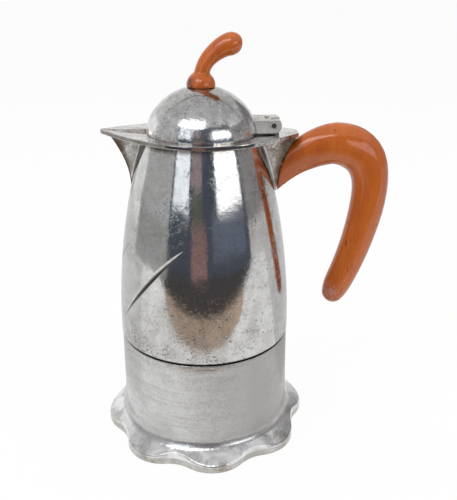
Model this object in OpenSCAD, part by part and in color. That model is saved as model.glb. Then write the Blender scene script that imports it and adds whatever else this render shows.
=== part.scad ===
// Stovetop moka pot: scalloped boiler, coffee funnel, screwed-on collector with a boat-shaped rim,
// hinged dome lid, curved knob and side handle. Origin on the pot's axis at its base, +Z up,
// the handle toward +X and the spout toward -X. All sizes in millimetres.

/* [Boiler] */
// Height from the base to the shoulder that the seam sits on
boiler_h = 55; // [45:1:75]
// Outer radius of the wall at the shoulder
boiler_top_r = 43.2; // [42:0.1:44]
// Outer radius of the wall just above the flange
boiler_foot_r = 43.9; // [43:0.1:45]
// Thickness of the side wall
boiler_wall = 3.4; // [2:0.1:3.6]
// Thickness of the floor
boiler_floor = 4; // [2.5:0.1:6]
// Thickness of the shoulder under the seam
shoulder_t = 4; // [3:0.1:6]
// Radius between the floor and the wall, inside
boiler_corner_r = 6; // [2:0.5:12]

/* [Scalloped flange] */
// Number of lobes round the base
lobe_count = 8; // [6:1:10]
// How far the bottoms of the valleys stand out from the wall's foot
valley_reach = 4.6; // [3.6:0.1:6]
// How far the tips of the lobes stand out from the valleys
lobe_reach = 5.1; // [3:0.1:8]
// Radius of each lobe's round end
lobe_round_r = 19; // [17:0.5:20]
// Turn of the first lobe away from the handle
lobe_phase = 5; // [0:1:44]
// Height of the edge at a lobe's tip
flange_edge_h = 4; // [3:0.1:6]
// Fall of the flange's top surface, in degrees
flange_slope = 30; // [15:1:35]
// Radius of the cove between the wall and the flange
flange_cove_r = 6; // [3:0.5:8]

/* [Screw thread] */
// Height of the neck above the shoulder
neck_h = 11; // [9:0.5:16]
// Outer radius of the neck, at the bottom of its thread
neck_r = 36.9; // [36.2:0.1:37.2]
// Bore of the neck, as a radius
neck_bore_r = 34.5; // [34.2:0.1:34.8]
// Height of the thread's ridge
thread_depth = 1.3; // [0.8:0.1:1.4]
// Rise in one turn
thread_pitch = 3; // [2.6:0.1:4]
// Turns of ridge on each part
thread_turns = 2.2; // [1.5:0.1:2.6]
// Height of the thread's start above the shoulder
thread_rise = 2; // [1.6:0.1:2.6]

/* [Safety valve] */
// Height of the valve's centre line
valve_z = 30; // [24:1:40]
// Radius of the boss on the wall
valve_boss_r = 8.5; // [8:0.1:10]
// How far the boss stands off the wall
valve_boss_h = 1.2; // [0.6:0.1:3]
// Radius of the threaded stub through the wall
valve_stub_r = 4.5; // [4:0.1:5]
// How far the stub reaches into the boiler
valve_stub_in = 1; // [0.5:0.1:3]
// Distance across the flats of the hexagon
valve_hex_af = 13; // [12:0.5:14]
// Thickness of the hexagon
valve_hex_t = 5; // [4.5:0.1:7]
// Radius of the spring chamber
valve_bore_r = 3.2; // [2.9:0.1:3.4]
// Radius of the steam orifice
valve_orifice_r = 1.4; // [1:0.1:1.8]
// Length of the steam orifice
valve_orifice_len = 2.4; // [1.6:0.1:3]
// Radius of the poppet's stem
valve_stem_r = 1; // [0.7:0.1:1.1]
// Radius of the poppet's sealing head
valve_head_r = 2.5; // [2.2:0.1:2.8]
// Thickness of the poppet's head
valve_head_t = 1.2; // [0.8:0.1:1.6]
// How far the stem stands out of the cap
valve_stem_out = 1; // [0.5:0.1:2]
// Radius of the spring's wire
spring_wire_r = 0.35; // [0.25:0.05:0.4]
// Working turns of the spring
spring_turns = 5; // [4:1:6]
// Thickness of the sealing washer under the hexagon
valve_washer_t = 0.8; // [0.6:0.1:1.5]
// Thickness of the cap that holds the spring
valve_cap_t = 0.8; // [0.6:0.1:1.5]
// Length of the cap's plug inside the chamber
valve_plug_len = 1.8; // [1.2:0.1:2.4]

/* [Funnel] */
// Outer radius of the coffee cup
cup_r = 33.8; // [33:0.1:34]
// Depth of the coffee cup
cup_depth = 21.5; // [15:0.5:24]
// Sheet thickness of the funnel
funnel_wall = 1; // [0.8:0.1:1.2]
// Radius of the flange that sits on the neck
funnel_flange_r = 37; // [36.6:0.1:37.6]
// Thickness of that flange
funnel_flange_t = 0.8; // [0.6:0.1:1.2]
// Height of the cone below the cup
funnel_cone_h = 8; // [5:0.5:10]
// Outer radius of the dip tube
tube_r = 5.3; // [4.8:0.1:6]
// Gap between the dip tube's end and the boiler's floor
tube_lift = 4; // [3:0.5:8]
// Thickness of the perforated sieve in the cup
sieve_t = 0.8; // [0.6:0.1:1.2]
// Width of the ledge that carries the sieve
sieve_seat = 1.3; // [1:0.1:2]
// Plain border round the sieve's perforations
sieve_border = 6; // [3:0.5:8]
// Spacing of the perforations in the sieve and the filter plate
hole_pitch = 4.4; // [4:0.2:6]
// Radius of each perforation
hole_r = 0.7; // [0.5:0.1:0.9]

/* [Gasket and filter plate] */
// Thickness of the gasket
gasket_t = 3.5; // [2.5:0.1:5]
// Outer radius of the gasket
gasket_r = 36.6; // [36:0.1:37]
// Radius of the gasket's hole
gasket_hole_r = 28.5; // [26:0.5:30]
// Radius of the filter plate
filter_r = 30.4; // [29.5:0.1:32]
// Thickness of the filter plate
filter_t = 0.8; // [0.6:0.1:1.2]
// Plain border between the filter's perforations and the gasket's hole
filter_border = 3; // [2:0.5:6]

/* [Collector] */
// Height from the collector's lower edge to the middle of the rim
collector_h = 100.8; // [90:0.1:120]
// Outer radius at the lower edge
barrel_r = 43.5; // [43:0.1:44.5]
// Radius of the barrel's curve, seen from the side
barrel_curve_r = 328; // [300:1:420]
// Wall thickness
barrel_wall = 3; // [2:0.1:3.4]
// Dark gap left at the seam
seam_gap = 1; // [0.6:0.1:1.5]
// Height of the space above the filter plate
plenum_h = 1.7; // [1:0.1:3]
// Radius of the space above the filter plate
plenum_r = 27.5; // [24:0.5:29]
// Thickness of the chamber's floor
chamber_floor = 3; // [2.5:0.1:5]
// Number of slanted cuts under the spout
slash_count = 3; // [1:1:3]
// Angle between neighbouring cuts
slash_step = 45; // [35:1:50]
// Turn of the middle cut away from the spout
slash_turn = 4; // [-10:1:10]
// Height of the middle of each cut above the collector's edge
slash_rise = 36; // [28:1:40]
// Slope of the cuts, in degrees
slash_tilt = 49; // [40:1:60]
// Depth of each cut
slash_depth = 1.3; // [0.6:0.1:1.6]
// Length of each cut
slash_len = 66; // [50:1:70]
// Width of each cut at its middle
slash_w = 5.5; // [2:0.1:6]
// Height of the ledge under the lid's edge
ledge_h = 3; // [2:0.1:4]

/* [Rim plate] */
// Length of the rim from the axis to the spout's tip
rim_tip = 47.3; // [45:0.1:52]
// Length of the rim from the axis to the end over the handle
rim_tab = 45.5; // [44:0.1:46]
// Half of the rim's width
rim_half_w = 30; // [29.2:0.1:33]
// Half of the width at the spout's tip
tip_half_w = 1.2; // [1.1:0.1:2.5]
// Half of the width at the end over the handle
tab_half_w = 4.2; // [4.1:0.1:6]
// Fullness of the rim's outline, where 2 is an even curve
rim_fullness = 1.9; // [1.7:0.05:2.1]
// Thickness of the rim
rim_t = 1.9; // [1.5:0.1:3]
// Radius of the rim's boat-like sweep, seen from the side
rim_sweep_r = 820; // [700:10:1500]
// How far the lowest point of that sweep lies toward the handle
rim_low_x = 14.5; // [0:0.5:20]
// Depth below the rim's top at which the spout and the bracket end inside the rim
rim_root_t = 1.5; // [1.2:0.1:1.6]

/* [Spout and bracket] */
// Depth of the spout's keel below the rim
spout_depth = 26; // [20:0.5:30]
// Distance from the spout's tip back to the top of its keel
spout_back = 3.4; // [2.5:0.1:5]
// Bend of the keel, where 1 is straight
keel_bend = 1.45; // [1.2:0.05:1.7]
// Half of the spout's width where it meets the barrel
spout_half_w = 10; // [8:0.5:12]
// Half of the channel's width at the lid
channel_half_w = 6.6; // [5:0.1:7]
// Depth of the channel at the lid
channel_depth = 9; // [6:0.5:10]
// Depth of the channel where it runs out at the tip
channel_tip_depth = 0.8; // [0.5:0.1:1]
// Half of the channel's width where it runs out at the tip
channel_tip_half_w = 0.7; // [0.5:0.1:0.8]
// Depth of the handle bracket below the rim
bracket_depth = 28.5; // [26:0.5:30]
// Half of the bracket's width where it meets the barrel
bracket_half_w = 10; // [8:0.5:12]
// Half of the bracket's width at the handle
bracket_end_half_w = 3.8; // [3:0.1:4]
// Radius of the curved joint between the bracket and the handle
joint_r = 38; // [34:0.5:42]
// Depth of that curve's centre below the rim
joint_drop = 25.8; // [24:0.1:27]
// How far the boss for the handle's screw stands into the chamber
screw_boss_h = 1.6; // [1:0.1:2.4]

/* [Coffee column] */
// Radius of the column's foot
column_foot_r = 8.5; // [8:0.1:10]
// Thickness of the foot
column_foot_t = 2.5; // [2:0.1:4]
// Radius of the column above the foot
column_low_r = 6.8; // [6.4:0.1:7.4]
// Radius of the column near its top
column_top_r = 5.4; // [5.1:0.1:6]
// Height of the column above the chamber's floor
column_h = 52; // [35:1:62]
// Radius of the coffee's path
column_bore_r = 3.5; // [3:0.1:3.8]
// Radius of the spigot pressed into the floor
spigot_r = 6; // [5.6:0.1:6.4]
// Width of the two outlets at the top
outlet_w = 4.4; // [3:0.1:6]
// Height of the two outlets
outlet_h = 5.5; // [4:0.1:8]
// Thickness of the cap above the outlets
outlet_cap_t = 1.5; // [1:0.1:3]

/* [Lid] */
// Outer radius of the dome
dome_r = 26.1; // [24:0.1:26.4]
// Height of the dome above the rim, before its top is flattened
dome_h = 22; // [18:0.1:24]
// Radius of the dome's shoulder
dome_shoulder_r = 17; // [13:0.5:17]
// Wall thickness of the dome
dome_wall = 1.6; // [1.2:0.1:2.2]
// Depth of the dome's edge below the rim
dome_drop = 1.5; // [1:0.1:1.7]
// Flat taken off the top to seat the knob
dome_flat = 0.9; // [0.7:0.1:1.2]
// Thickness of the pad under the knob
knob_pad_t = 2; // [1.8:0.1:3]

/* [Hinge] */
// Distance from the pot's axis to the hinge pin
hinge_x = 33.4; // [32.5:0.1:34.5]
// Height of the pin above the rim
hinge_rise = 4.3; // [4:0.1:5]
// Radius of the rounded end of the lid's ears
ear_r = 3.7; // [3:0.1:3.8]
// Flat top of the ears above the pin
ear_top = 2.7; // [2.4:0.1:3]
// Half of the width over both ears
ears_half_w = 7.3; // [6.5:0.1:8]
// Half of the knuckle's width
knuckle_half_w = 2.5; // [2:0.1:3]
// Radius of the knuckle
knuckle_r = 3; // [2.8:0.1:3.1]
// Gap between the knuckle and the lid's web, which sets how far the lid opens
web_gap = 0.7; // [0.6:0.05:0.9]
// Radius of the hinge pin
pin_r = 1.2; // [1:0.05:1.4]
// Depth of each pin end inside its hole
pin_recess = 1.4; // [0.8:0.1:2]

/* [Knob] */
// Radius of the knob's ball
ball_r = 6.8; // [6.5:0.1:7.8]
// Height of the ball's centre above its seat
ball_rise = 0.6; // [0.3:0.1:2]

/* [Fasteners] */
// Radius of the two fixing screws
screw_r = 2; // [1.6:0.1:2.1]
// Radius of the screw heads
screw_head_r = 3.8; // [3.4:0.1:4.2]
// Thickness of the screw heads
screw_head_t = 2.4; // [2:0.1:3]
// Width of the driver slots
slot_w = 0.9; // [0.7:0.1:1.2]
// Outer radius of the washers
washer_r = 4.6; // [4.4:0.1:5]
// Thickness of the washers
washer_t = 0.7; // [0.5:0.1:1]
// Outer radius of the brass inserts
insert_r = 3; // [2.8:0.1:3.1]
// Length of the knob's insert
knob_insert_len = 6; // [5:0.5:6.5]
// Length of the handle's insert
handle_insert_len = 14; // [10:0.5:16]
// Height of the handle's screw below the rim
handle_screw_drop = 12; // [11:0.5:13]

/* [Clearances] */
// Radial play of the hinge pin and the poppet's stem
running_gap = 0.05; // [0.02:0.01:0.1]
// Radial play of pieces pressed or screwed together
fixed_gap = 0.05; // [0.02:0.01:0.1]
// Play between pieces that pass each other
free_gap = 0.3; // [0.25:0.05:0.45]
// Play across each flank of the screw thread
flank_gap = 0.2; // [0.15:0.01:0.3]

/* [Hidden] */

$fn = 96;
fine_fn = 720;
over = 0.5;       // how far a cutting tool runs past the face that it cuts
embed = 0.6;      // how far an added form reaches into the wall that carries it
foot_half = 0.7;  // half of a gusset's width where it starts on the barrel
joint_gap = 0.1;  // gap between the bracket's end and the handle
screw_end_gap = 1;    // how far a screw's end stays inside its insert

// Heights, from the base up
neck_top = boiler_h + neck_h;
funnel_top = neck_top + funnel_flange_t;
gasket_top = funnel_top + gasket_t;
collector_z = boiler_h + seam_gap;
plenum_top = gasket_top + plenum_h;
chamber_z = plenum_top + chamber_floor;
rim_z = collector_z + collector_h;
hinge_z = rim_z + hinge_rise;
dome_edge_z = rim_z - dome_drop;
knob_z = rim_z + dome_h - dome_flat;
handle_screw_z = rim_z - handle_screw_drop;

// Radii that follow from a fit
skirt_r = neck_r + thread_depth + free_gap;
seat_bore_r = dome_r - dome_wall + embed / 3;
rim_hole_r = dome_r + free_gap;
screw_hole_r = screw_r + fixed_gap;
insert_hole_r = insert_r + fixed_gap;

function barrel_radius(z) =
    barrel_r - barrel_curve_r + sqrt(pow(barrel_curve_r, 2) - pow(z - collector_z, 2));
function rim_rise(x) =
    sqrt(pow(rim_sweep_r, 2) - pow(rim_low_x, 2)) - sqrt(pow(rim_sweep_r, 2) - pow(x - rim_low_x, 2));
function arc_points(cx, cy, r, a0, a1, n) =
    [for (i = [0 : n]) [cx + r * cos(a0 + (a1 - a0) * i / n), cy + r * sin(a0 + (a1 - a0) * i / n)]];

// Point at t on a smooth curve through a list of stations
function spline_at(stations, i, t) =
    let (
        last = len(stations) - 1,
        a = stations[max(i - 1, 0)],
        b = stations[i],
        c = stations[min(i + 1, last)],
        d = stations[min(i + 2, last)]
    )
    0.5 * (2 * b + (c - a) * t + (2 * a - 5 * b + 4 * c - d) * t * t + (3 * b - a - 3 * c + d) * t * t * t);
function smooth_stations(stations, steps) = [
    for (i = [0 : len(stations) - 2], k = [0 : steps - 1]) spline_at(stations, i, k / steps),
    stations[len(stations) - 1]
];

// One oval ring of a curved bar that lies in the XZ plane.
// A station is [x, z, half depth in the plane, half width across it, pinch of the lower side].
function bar_ring(stations, i, sides) =
    let (
        s = stations[i],
        before = stations[max(i - 1, 0)],
        after = stations[min(i + 1, len(stations) - 1)],
        along = [after[0] - before[0], after[1] - before[1]],
        out = [-along[1], along[0]] / norm(along)
    )
    [for (k = [0 : sides - 1])
        let (
            a = 360 * k / sides,
            depth = s[2] * cos(a),
            width = s[3] * sin(a) * (1 + s[4] * (cos(a) - 1) / 2)
        )
        [s[0] + out[0] * depth, -width, s[1] + out[1] * depth]
    ];

// Faces that close a ring of n points in strips across it, so that a hollow-sided ring stays true
function cap_faces(n) = [
    for (k = [0 : ceil(n / 2) - 2])
        n - 2 - k > k + 1 ? [k, k + 1, n - 2 - k, n - 1 - k] : [k, k + 1, n - 1 - k]
];

// Closed skin through a list of rings that have the same number of points
module skin(rings) {
    n = len(rings[0]);
    m = len(rings);
    sides = [
        for (i = [0 : m - 2], k = [0 : n - 1])
        for (face = [
            [i * n + k, (i + 1) * n + k, i * n + (k + 1) % n],
            [(i + 1) * n + k, (i + 1) * n + (k + 1) % n, i * n + (k + 1) % n]
        ]) face
    ];
    start_cap = cap_faces(n);
    end_cap = [for (face = start_cap) [for (k = [len(face) - 1 : -1 : 0]) (m - 1) * n + face[k]]];
    polyhedron(points = [for (ring = rings) each ring], faces = concat(sides, start_cap, end_cap));
}

module curved_bar(stations, steps, sides) {
    path = smooth_stations(stations, steps);
    skin([for (i = [0 : len(path) - 1]) bar_ring(path, i, sides)]);
}

// Helical ridge; root and crest are radii, and the crest is outside the root on a male thread
module thread_ridge(root, crest, z0, turns) {
    segments = 36;
    root_half = thread_pitch / 4 + thread_depth / 4 - flank_gap / 2;
    crest_half = thread_pitch / 4 - thread_depth / 4 - flank_gap / 2;
    count = round(turns * segments);
    outward = crest > root;
    profile = outward
        ? [[root, -root_half], [root, root_half], [crest, crest_half], [crest, -crest_half]]
        : [[root, -root_half], [crest, -crest_half], [crest, crest_half], [root, root_half]];
    skin([for (i = [0 : count])
        let (a = 360 * i / segments, lift = z0 + thread_pitch * i / segments)
        [for (p = profile) [p[0] * cos(a), p[0] * sin(a), lift + p[1]]]
    ]);
}

// Rows of small holes in a round plate
module perforations(radius, z0, height) {
    rows = floor(radius / hole_pitch / 0.866);
    for (row = [-rows : rows]) {
        y = row * hole_pitch * 0.866;
        reach = sqrt(max(0, radius * radius - y * y));
        shift = (abs(row) % 2) * hole_pitch / 2;
        columns = floor((reach + shift) / hole_pitch);
        for (column = [-columns : columns]) {
            x = column * hole_pitch + shift;
            if (norm([x, y]) < radius) {
                translate([x, y, z0]) cylinder(r = hole_r, h = height, $fn = 16);
            }
        }
    }
}

module screw(length) {
    difference() {
        union() {
            cylinder(r = screw_head_r, h = screw_head_t);
            cylinder(r = screw_r, h = length);
        }
        translate([-screw_head_r - over, -slot_w / 2, -over]) {
            cube([2 * screw_head_r + 2 * over, slot_w, screw_head_t / 2 + over]);
        }
    }
}

module ring(outer, inner, height) {
    difference() {
        cylinder(r = outer, h = height);
        translate([0, 0, -over]) cylinder(r = inner, h = height + 2 * over);
    }
}

// ---- Boiler ----
lobe_valley_r = boiler_foot_r + valley_reach;
lobe_tip_r = lobe_valley_r + lobe_reach;
cove_cx = boiler_foot_r + flange_cove_r;
cove_end_a = 270 - flange_slope;
cove_end_x = cove_cx + flange_cove_r * cos(cove_end_a);
cove_end_z = flange_edge_h + (lobe_tip_r - cove_end_x) * tan(flange_slope);
cove_cz = cove_end_z - flange_cove_r * sin(cove_end_a);
boiler_in_r = boiler_top_r - boiler_wall;

// Outline of the flange: round lobes joined by round valleys that are tangent to them
lobe_centre = lobe_tip_r - lobe_round_r;
lobe_half_a = 180 / lobe_count;
valley_round_r = (pow(lobe_centre, 2) + pow(lobe_valley_r, 2)
    - 2 * lobe_centre * lobe_valley_r * cos(lobe_half_a) - pow(lobe_round_r, 2))
    / (2 * (lobe_round_r + lobe_centre * cos(lobe_half_a) - lobe_valley_r));
valley_centre = lobe_valley_r + valley_round_r;

module scallop_outline() {
    to_valley = valley_centre * [cos(lobe_half_a), sin(lobe_half_a)] - [lobe_centre, 0];
    turn_a = atan2(to_valley[1], to_valley[0]);
    lobe = arc_points(lobe_centre, 0, lobe_round_r, -turn_a, turn_a, 8);
    valley_a = 180 + turn_a - lobe_half_a;
    valley = arc_points(valley_centre, 0, valley_round_r, valley_a, 360 - valley_a, 6);
    polygon([for (i = [0 : lobe_count - 1])
        let (a = lobe_phase + 360 * i / lobe_count, b = a + lobe_half_a)
        each concat(
            [for (p = lobe) [p[0] * cos(a) - p[1] * sin(a), p[0] * sin(a) + p[1] * cos(a)]],
            [for (k = [1 : len(valley) - 2]) let (p = valley[k])
                [p[0] * cos(b) - p[1] * sin(b), p[0] * sin(b) + p[1] * cos(b)]]
        )
    ]);
}

module boiler_shape() {
    rotate_extrude() polygon(concat(
        [[0, 0], [lobe_tip_r + over, 0]],
        [[lobe_tip_r + over, flange_edge_h - over * tan(flange_slope)]],
        arc_points(cove_cx, cove_cz, flange_cove_r, cove_end_a, 180, 8),
        [[boiler_top_r, boiler_h], [neck_r, boiler_h], [neck_r, neck_top], [0, neck_top]]
    ));
}

module boiler_cavity() {
    ceiling = boiler_h - shoulder_t;
    rotate_extrude() polygon(concat(
        [[0, boiler_floor]],
        arc_points(
            boiler_in_r - boiler_corner_r, boiler_floor + boiler_corner_r, boiler_corner_r, 270, 360, 6
        ),
        [[boiler_in_r, ceiling], [neck_bore_r, ceiling], [neck_bore_r, neck_top + over], [0, neck_top + over]]
    ));
}

valve_wall_y = boiler_foot_r + (boiler_top_r - boiler_foot_r) * (valve_z - cove_cz) / (boiler_h - cove_cz);
valve_seat_y = valve_wall_y + valve_boss_h;
valve_in_y = boiler_in_r - valve_stub_in;

// Turns a piece that is drawn along +Z so that it points out of the back of the boiler
module at_valve(y) {
    translate([0, y, valve_z]) rotate([-90, 0, 0]) children();
}

module boiler() {
    color([0.80, 0.80, 0.79]) {
        difference() {
            union() {
                intersection() {
                    boiler_shape();
                    union() {
                        translate([0, 0, -over]) linear_extrude(cove_cz + over) scallop_outline();
                        translate([0, 0, -over]) cylinder(r = boiler_foot_r + over, h = neck_top + 2 * over);
                    }
                }
                at_valve(boiler_in_r + embed) {
                    cylinder(r = valve_boss_r, h = valve_seat_y - boiler_in_r - embed);
                }
            }
            boiler_cavity();
            at_valve(valve_in_y) {
                cylinder(r = valve_stub_r + fixed_gap, h = valve_seat_y - valve_in_y + over);
            }
        }
        thread_ridge(neck_r - embed, neck_r + thread_depth, boiler_h + thread_rise, thread_turns);
    }
}

// ---- Safety valve, drawn from its inner end outward ----
stub_len = valve_seat_y + valve_washer_t - valve_in_y;
valve_len = stub_len + valve_hex_t;
spring_start = valve_orifice_len + valve_head_t;
spring_end = valve_len - valve_plug_len;

module valve_body() {
    color([0.78, 0.62, 0.30]) at_valve(valve_in_y) difference() {
        union() {
            cylinder(r = valve_stub_r, h = stub_len);
            translate([0, 0, stub_len]) {
                cylinder(r = valve_hex_af / 2 / cos(30), h = valve_hex_t, $fn = 6);
            }
        }
        translate([0, 0, -over]) cylinder(r = valve_orifice_r, h = valve_len);
        translate([0, 0, valve_orifice_len]) cylinder(r = valve_bore_r, h = valve_len);
    }
}

module valve_washer() {
    color([0.55, 0.25, 0.18]) at_valve(valve_seat_y) {
        ring(valve_hex_af / 2, valve_stub_r + free_gap, valve_washer_t);
    }
}

module valve_poppet() {
    color([0.85, 0.72, 0.42]) at_valve(valve_in_y + valve_orifice_len) {
        cylinder(r = valve_head_r, h = valve_head_t);
        cylinder(r = valve_stem_r, h = valve_len - valve_orifice_len + valve_cap_t + valve_stem_out);
    }
}

module valve_spring() {
    coil_r = (valve_stem_r + valve_bore_r) / 2;
    steps = 12;
    sides = 6;
    rise = (spring_end - spring_start - 2 * spring_wire_r) / spring_turns;
    rings = [for (i = [0 : spring_turns * steps])
        let (a = 360 * i / steps, lift = spring_start + spring_wire_r + rise * i / steps)
        [for (k = [0 : sides - 1])
            let (b = 360 * k / sides, r = coil_r + spring_wire_r * cos(b))
            [r * cos(a), r * sin(a), lift + spring_wire_r * sin(b)]
        ]
    ];
    color([0.7, 0.7, 0.72]) at_valve(valve_in_y) skin(rings);
}

module valve_cap() {
    color([0.78, 0.62, 0.30]) at_valve(valve_in_y + valve_len) difference() {
        union() {
            cylinder(r = valve_stub_r, h = valve_cap_t);
            translate([0, 0, -valve_plug_len]) {
                cylinder(r = valve_bore_r - fixed_gap, h = valve_plug_len + over);
            }
        }
        translate([0, 0, -valve_plug_len - over]) {
            cylinder(r = valve_stem_r + running_gap, h = valve_plug_len + valve_cap_t + 2 * over);
        }
    }
}

// ---- Funnel ----
cup_z = funnel_top - cup_depth;
cup_in_r = cup_r - funnel_wall;
cone_z = cup_z - funnel_cone_h;
tube_z = boiler_floor + tube_lift;

module funnel() {
    color([0.74, 0.75, 0.76]) rotate_extrude() polygon([
        [tube_r - funnel_wall, tube_z],
        [tube_r, tube_z],
        [tube_r, cone_z],
        [cup_r, cup_z],
        [cup_r, neck_top],
        [funnel_flange_r, neck_top],
        [funnel_flange_r, funnel_top],
        [cup_in_r, funnel_top],
        [cup_in_r, cup_z + funnel_wall],
        [cup_in_r - sieve_seat, cup_z + funnel_wall],
        [tube_r - funnel_wall, cone_z + funnel_wall]
    ]);
}

module funnel_sieve() {
    color([0.66, 0.67, 0.68]) translate([0, 0, cup_z + funnel_wall]) difference() {
        cylinder(r = cup_in_r - free_gap / 2, h = sieve_t);
        perforations(cup_in_r - sieve_border, -over, sieve_t + 2 * over);
    }
}

// ---- Gasket and filter plate ----
module gasket() {
    color([0.88, 0.86, 0.80]) difference() {
        translate([0, 0, funnel_top]) ring(gasket_r, gasket_hole_r, gasket_t);
        translate([0, 0, gasket_top - filter_t]) cylinder(r = filter_r + fixed_gap, h = filter_t + over);
    }
}

module filter_plate() {
    holes_r = min(plenum_r, gasket_hole_r) - filter_border + hole_r;
    color([0.70, 0.71, 0.72]) translate([0, 0, gasket_top - filter_t]) difference() {
        cylinder(r = filter_r, h = filter_t);
        perforations(holes_r, -over, filter_t + 2 * over);
    }
}

// ---- Collector ----
slash_r = barrel_radius(collector_z + slash_rise);
slash_curve = pow(cos(slash_tilt), 2) / slash_r + pow(sin(slash_tilt), 2) / barrel_curve_r;
slash_ring_r = 1 / (slash_curve - 8 * slash_depth / pow(slash_len, 2));

module slash_cutter() {
    reach = 8;
    half_sweep = 35;
    flare = reach * slash_w / 2 / slash_depth;
    rotate_extrude(angle = 2 * half_sweep, start = -half_sweep) polygon([
        [slash_ring_r, 0], [slash_ring_r + reach, -flare], [slash_ring_r + reach, flare]
    ]);
}

module barrel() {
    difference() {
        rotate_extrude() intersection() {
            translate([barrel_r - barrel_curve_r, collector_z]) circle(r = barrel_curve_r, $fn = fine_fn);
            translate([0, collector_z]) square([barrel_r + over, collector_h - rim_t / 2]);
        }
        for (i = [0 : slash_count - 1]) {
            rotate([0, 0, 180 + slash_turn + (i - (slash_count - 1) / 2) * slash_step])
                translate([slash_r, 0, collector_z + slash_rise])
                    rotate([0, -asin(slash_rise / barrel_curve_r), 0]) rotate([slash_tilt, 0, 0])
                        translate([-slash_depth - slash_ring_r, 0, 0]) slash_cutter();
        }
    }
}

rim_sweep_z = rim_z + sqrt(pow(rim_sweep_r, 2) - pow(rim_low_x, 2));
function rim_half(x) =
    let (end_half = x < 0 ? tip_half_w : tab_half_w, reach = x < 0 ? rim_tip : rim_tab)
    rim_half_w - (rim_half_w - end_half) * pow(min(abs(x) / reach, 1), rim_fullness);

module rim_plate() {
    steps = 28;
    upper = [for (i = [0 : steps]) let (x = rim_tab - (rim_tip + rim_tab) * i / steps) [x, rim_half(x)]];
    lower = [for (i = [steps : -1 : 0]) [upper[i][0], -upper[i][1]]];
    intersection() {
        translate([0, 0, rim_z - rim_t - over]) {
            linear_extrude(rim_t + rim_rise(-rim_tip) + 2 * over) polygon(concat(upper, lower));
        }
        translate([rim_low_x, 0, rim_sweep_z]) rotate([90, 0, 0]) difference() {
            cylinder(r = rim_sweep_r + rim_t, h = 3 * rim_half_w, center = true, $fn = 2 * fine_fn);
            cylinder(r = rim_sweep_r, h = 3 * rim_half_w + over, center = true, $fn = 2 * fine_fn);
        }
    }
}

// Level ring of a gusset: a hollow-sided wedge from the barrel out to a narrow nose
function gusset_ring(z, root_x, root_half, mid_x, mid_half, nose_x, nose_half) = [
    [root_x, root_half, z], [mid_x, mid_half, z], [nose_x, nose_half, z],
    [nose_x, -nose_half, z], [mid_x, -mid_half, z], [root_x, -root_half, z]
];

module spout_gusset() {
    levels = 10;
    height = spout_depth + rim_rise(spout_back - rim_tip) - rim_root_t;
    rings = [for (i = [0 : levels])
        let (
            t = i / levels,
            z = rim_z - spout_depth + height * t,
            wall = barrel_radius(z),
            nose = wall - embed + (rim_tip - spout_back + embed - barrel_radius(rim_z)) * pow(t, keel_bend),
            root_half = foot_half + (spout_half_w - foot_half) * t,
            root = sqrt(pow(wall, 2) - pow(root_half, 2)) - barrel_wall / 2,
            nose_half = embed + (tip_half_w - embed) * t
        )
        gusset_ring(z, -root, root_half, -(root + 0.45 * (nose - root)),
            nose_half + 0.42 * (root_half - nose_half), -nose, nose_half)
    ];
    skin(rings);
}

// The joint is part of a cylinder across the pot; the bracket ends on it and the handle starts on it
joint_z = rim_z - joint_drop;
joint_x = rim_tab - joint_gap + sqrt(pow(joint_r, 2) - pow(joint_drop + rim_rise(rim_tab) - rim_root_t, 2));
function joint_face(z) = joint_x - sqrt(pow(joint_r, 2) - pow(z - joint_z, 2));
bracket_face_x = joint_face(handle_screw_z);

module bracket_gusset() {
    levels = 7;
    height = bracket_depth + rim_rise(rim_tab) - rim_root_t;
    rings = [for (i = [0 : levels])
        let (
            t = i / levels,
            z = rim_z - bracket_depth + height * t,
            wall = barrel_radius(z),
            root_half = foot_half + (bracket_half_w - foot_half) * t,
            root = sqrt(pow(wall, 2) - pow(root_half, 2)) - barrel_wall / 2,
            nose = joint_face(z),
            nose_half = embed + (bracket_end_half_w - embed) * pow(t, 0.7)
        )
        gusset_ring(z, root, -root_half, root + 0.3 * (nose - root),
            -nose_half - 0.2 * (root_half - nose_half), nose, -nose_half)
    ];
    skin(rings);
}

// Knuckle on the rim, with a square rear corner that stops the open lid
module knuckle() {
    translate([hinge_x, 0, hinge_z]) rotate([90, 0, 0]) {
        translate([0, 0, -knuckle_half_w]) linear_extrude(2 * knuckle_half_w) {
            circle(r = knuckle_r);
            translate([0, -hinge_rise]) square([knuckle_r, hinge_rise + knuckle_r]);
            translate([-knuckle_r, -hinge_rise]) square([knuckle_r, hinge_rise]);
        }
    }
}

seat_face_x = barrel_radius(handle_screw_z) - barrel_wall - screw_boss_h;

module collector_cavities() {
    rotate_extrude() intersection() {
        translate([barrel_r - barrel_curve_r, collector_z]) {
            circle(r = barrel_curve_r - barrel_wall, $fn = fine_fn);
        }
        translate([0, chamber_z]) square([barrel_r, dome_edge_z - ledge_h - chamber_z]);
    }
    translate([0, 0, dome_edge_z - ledge_h - over]) cylinder(r = seat_bore_r, h = ledge_h + 2 * over);
    translate([0, 0, dome_edge_z]) cylinder(r = rim_hole_r, h = dome_drop + rim_rise(-rim_tip));
    translate([0, 0, collector_z - over]) cylinder(r = skirt_r, h = funnel_top - collector_z + over);
    translate([0, 0, funnel_top - over]) cylinder(r = gasket_r + fixed_gap, h = gasket_t + over);
    translate([0, 0, gasket_top - over]) cylinder(r = plenum_r, h = plenum_h + over);
    translate([0, 0, plenum_top - over]) cylinder(r = spigot_r + fixed_gap, h = chamber_floor + 2 * over);
}

// Triangular section across the channel, from its floor up past the rim and opening all the way
function channel_ring(x, floor_z, half_w, depth) =
    let (top = rim_z + 5, spread = half_w * (top - floor_z) / depth)
    [[-x, 0, floor_z], [-x, -spread, top], [-x, spread, top]];

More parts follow.
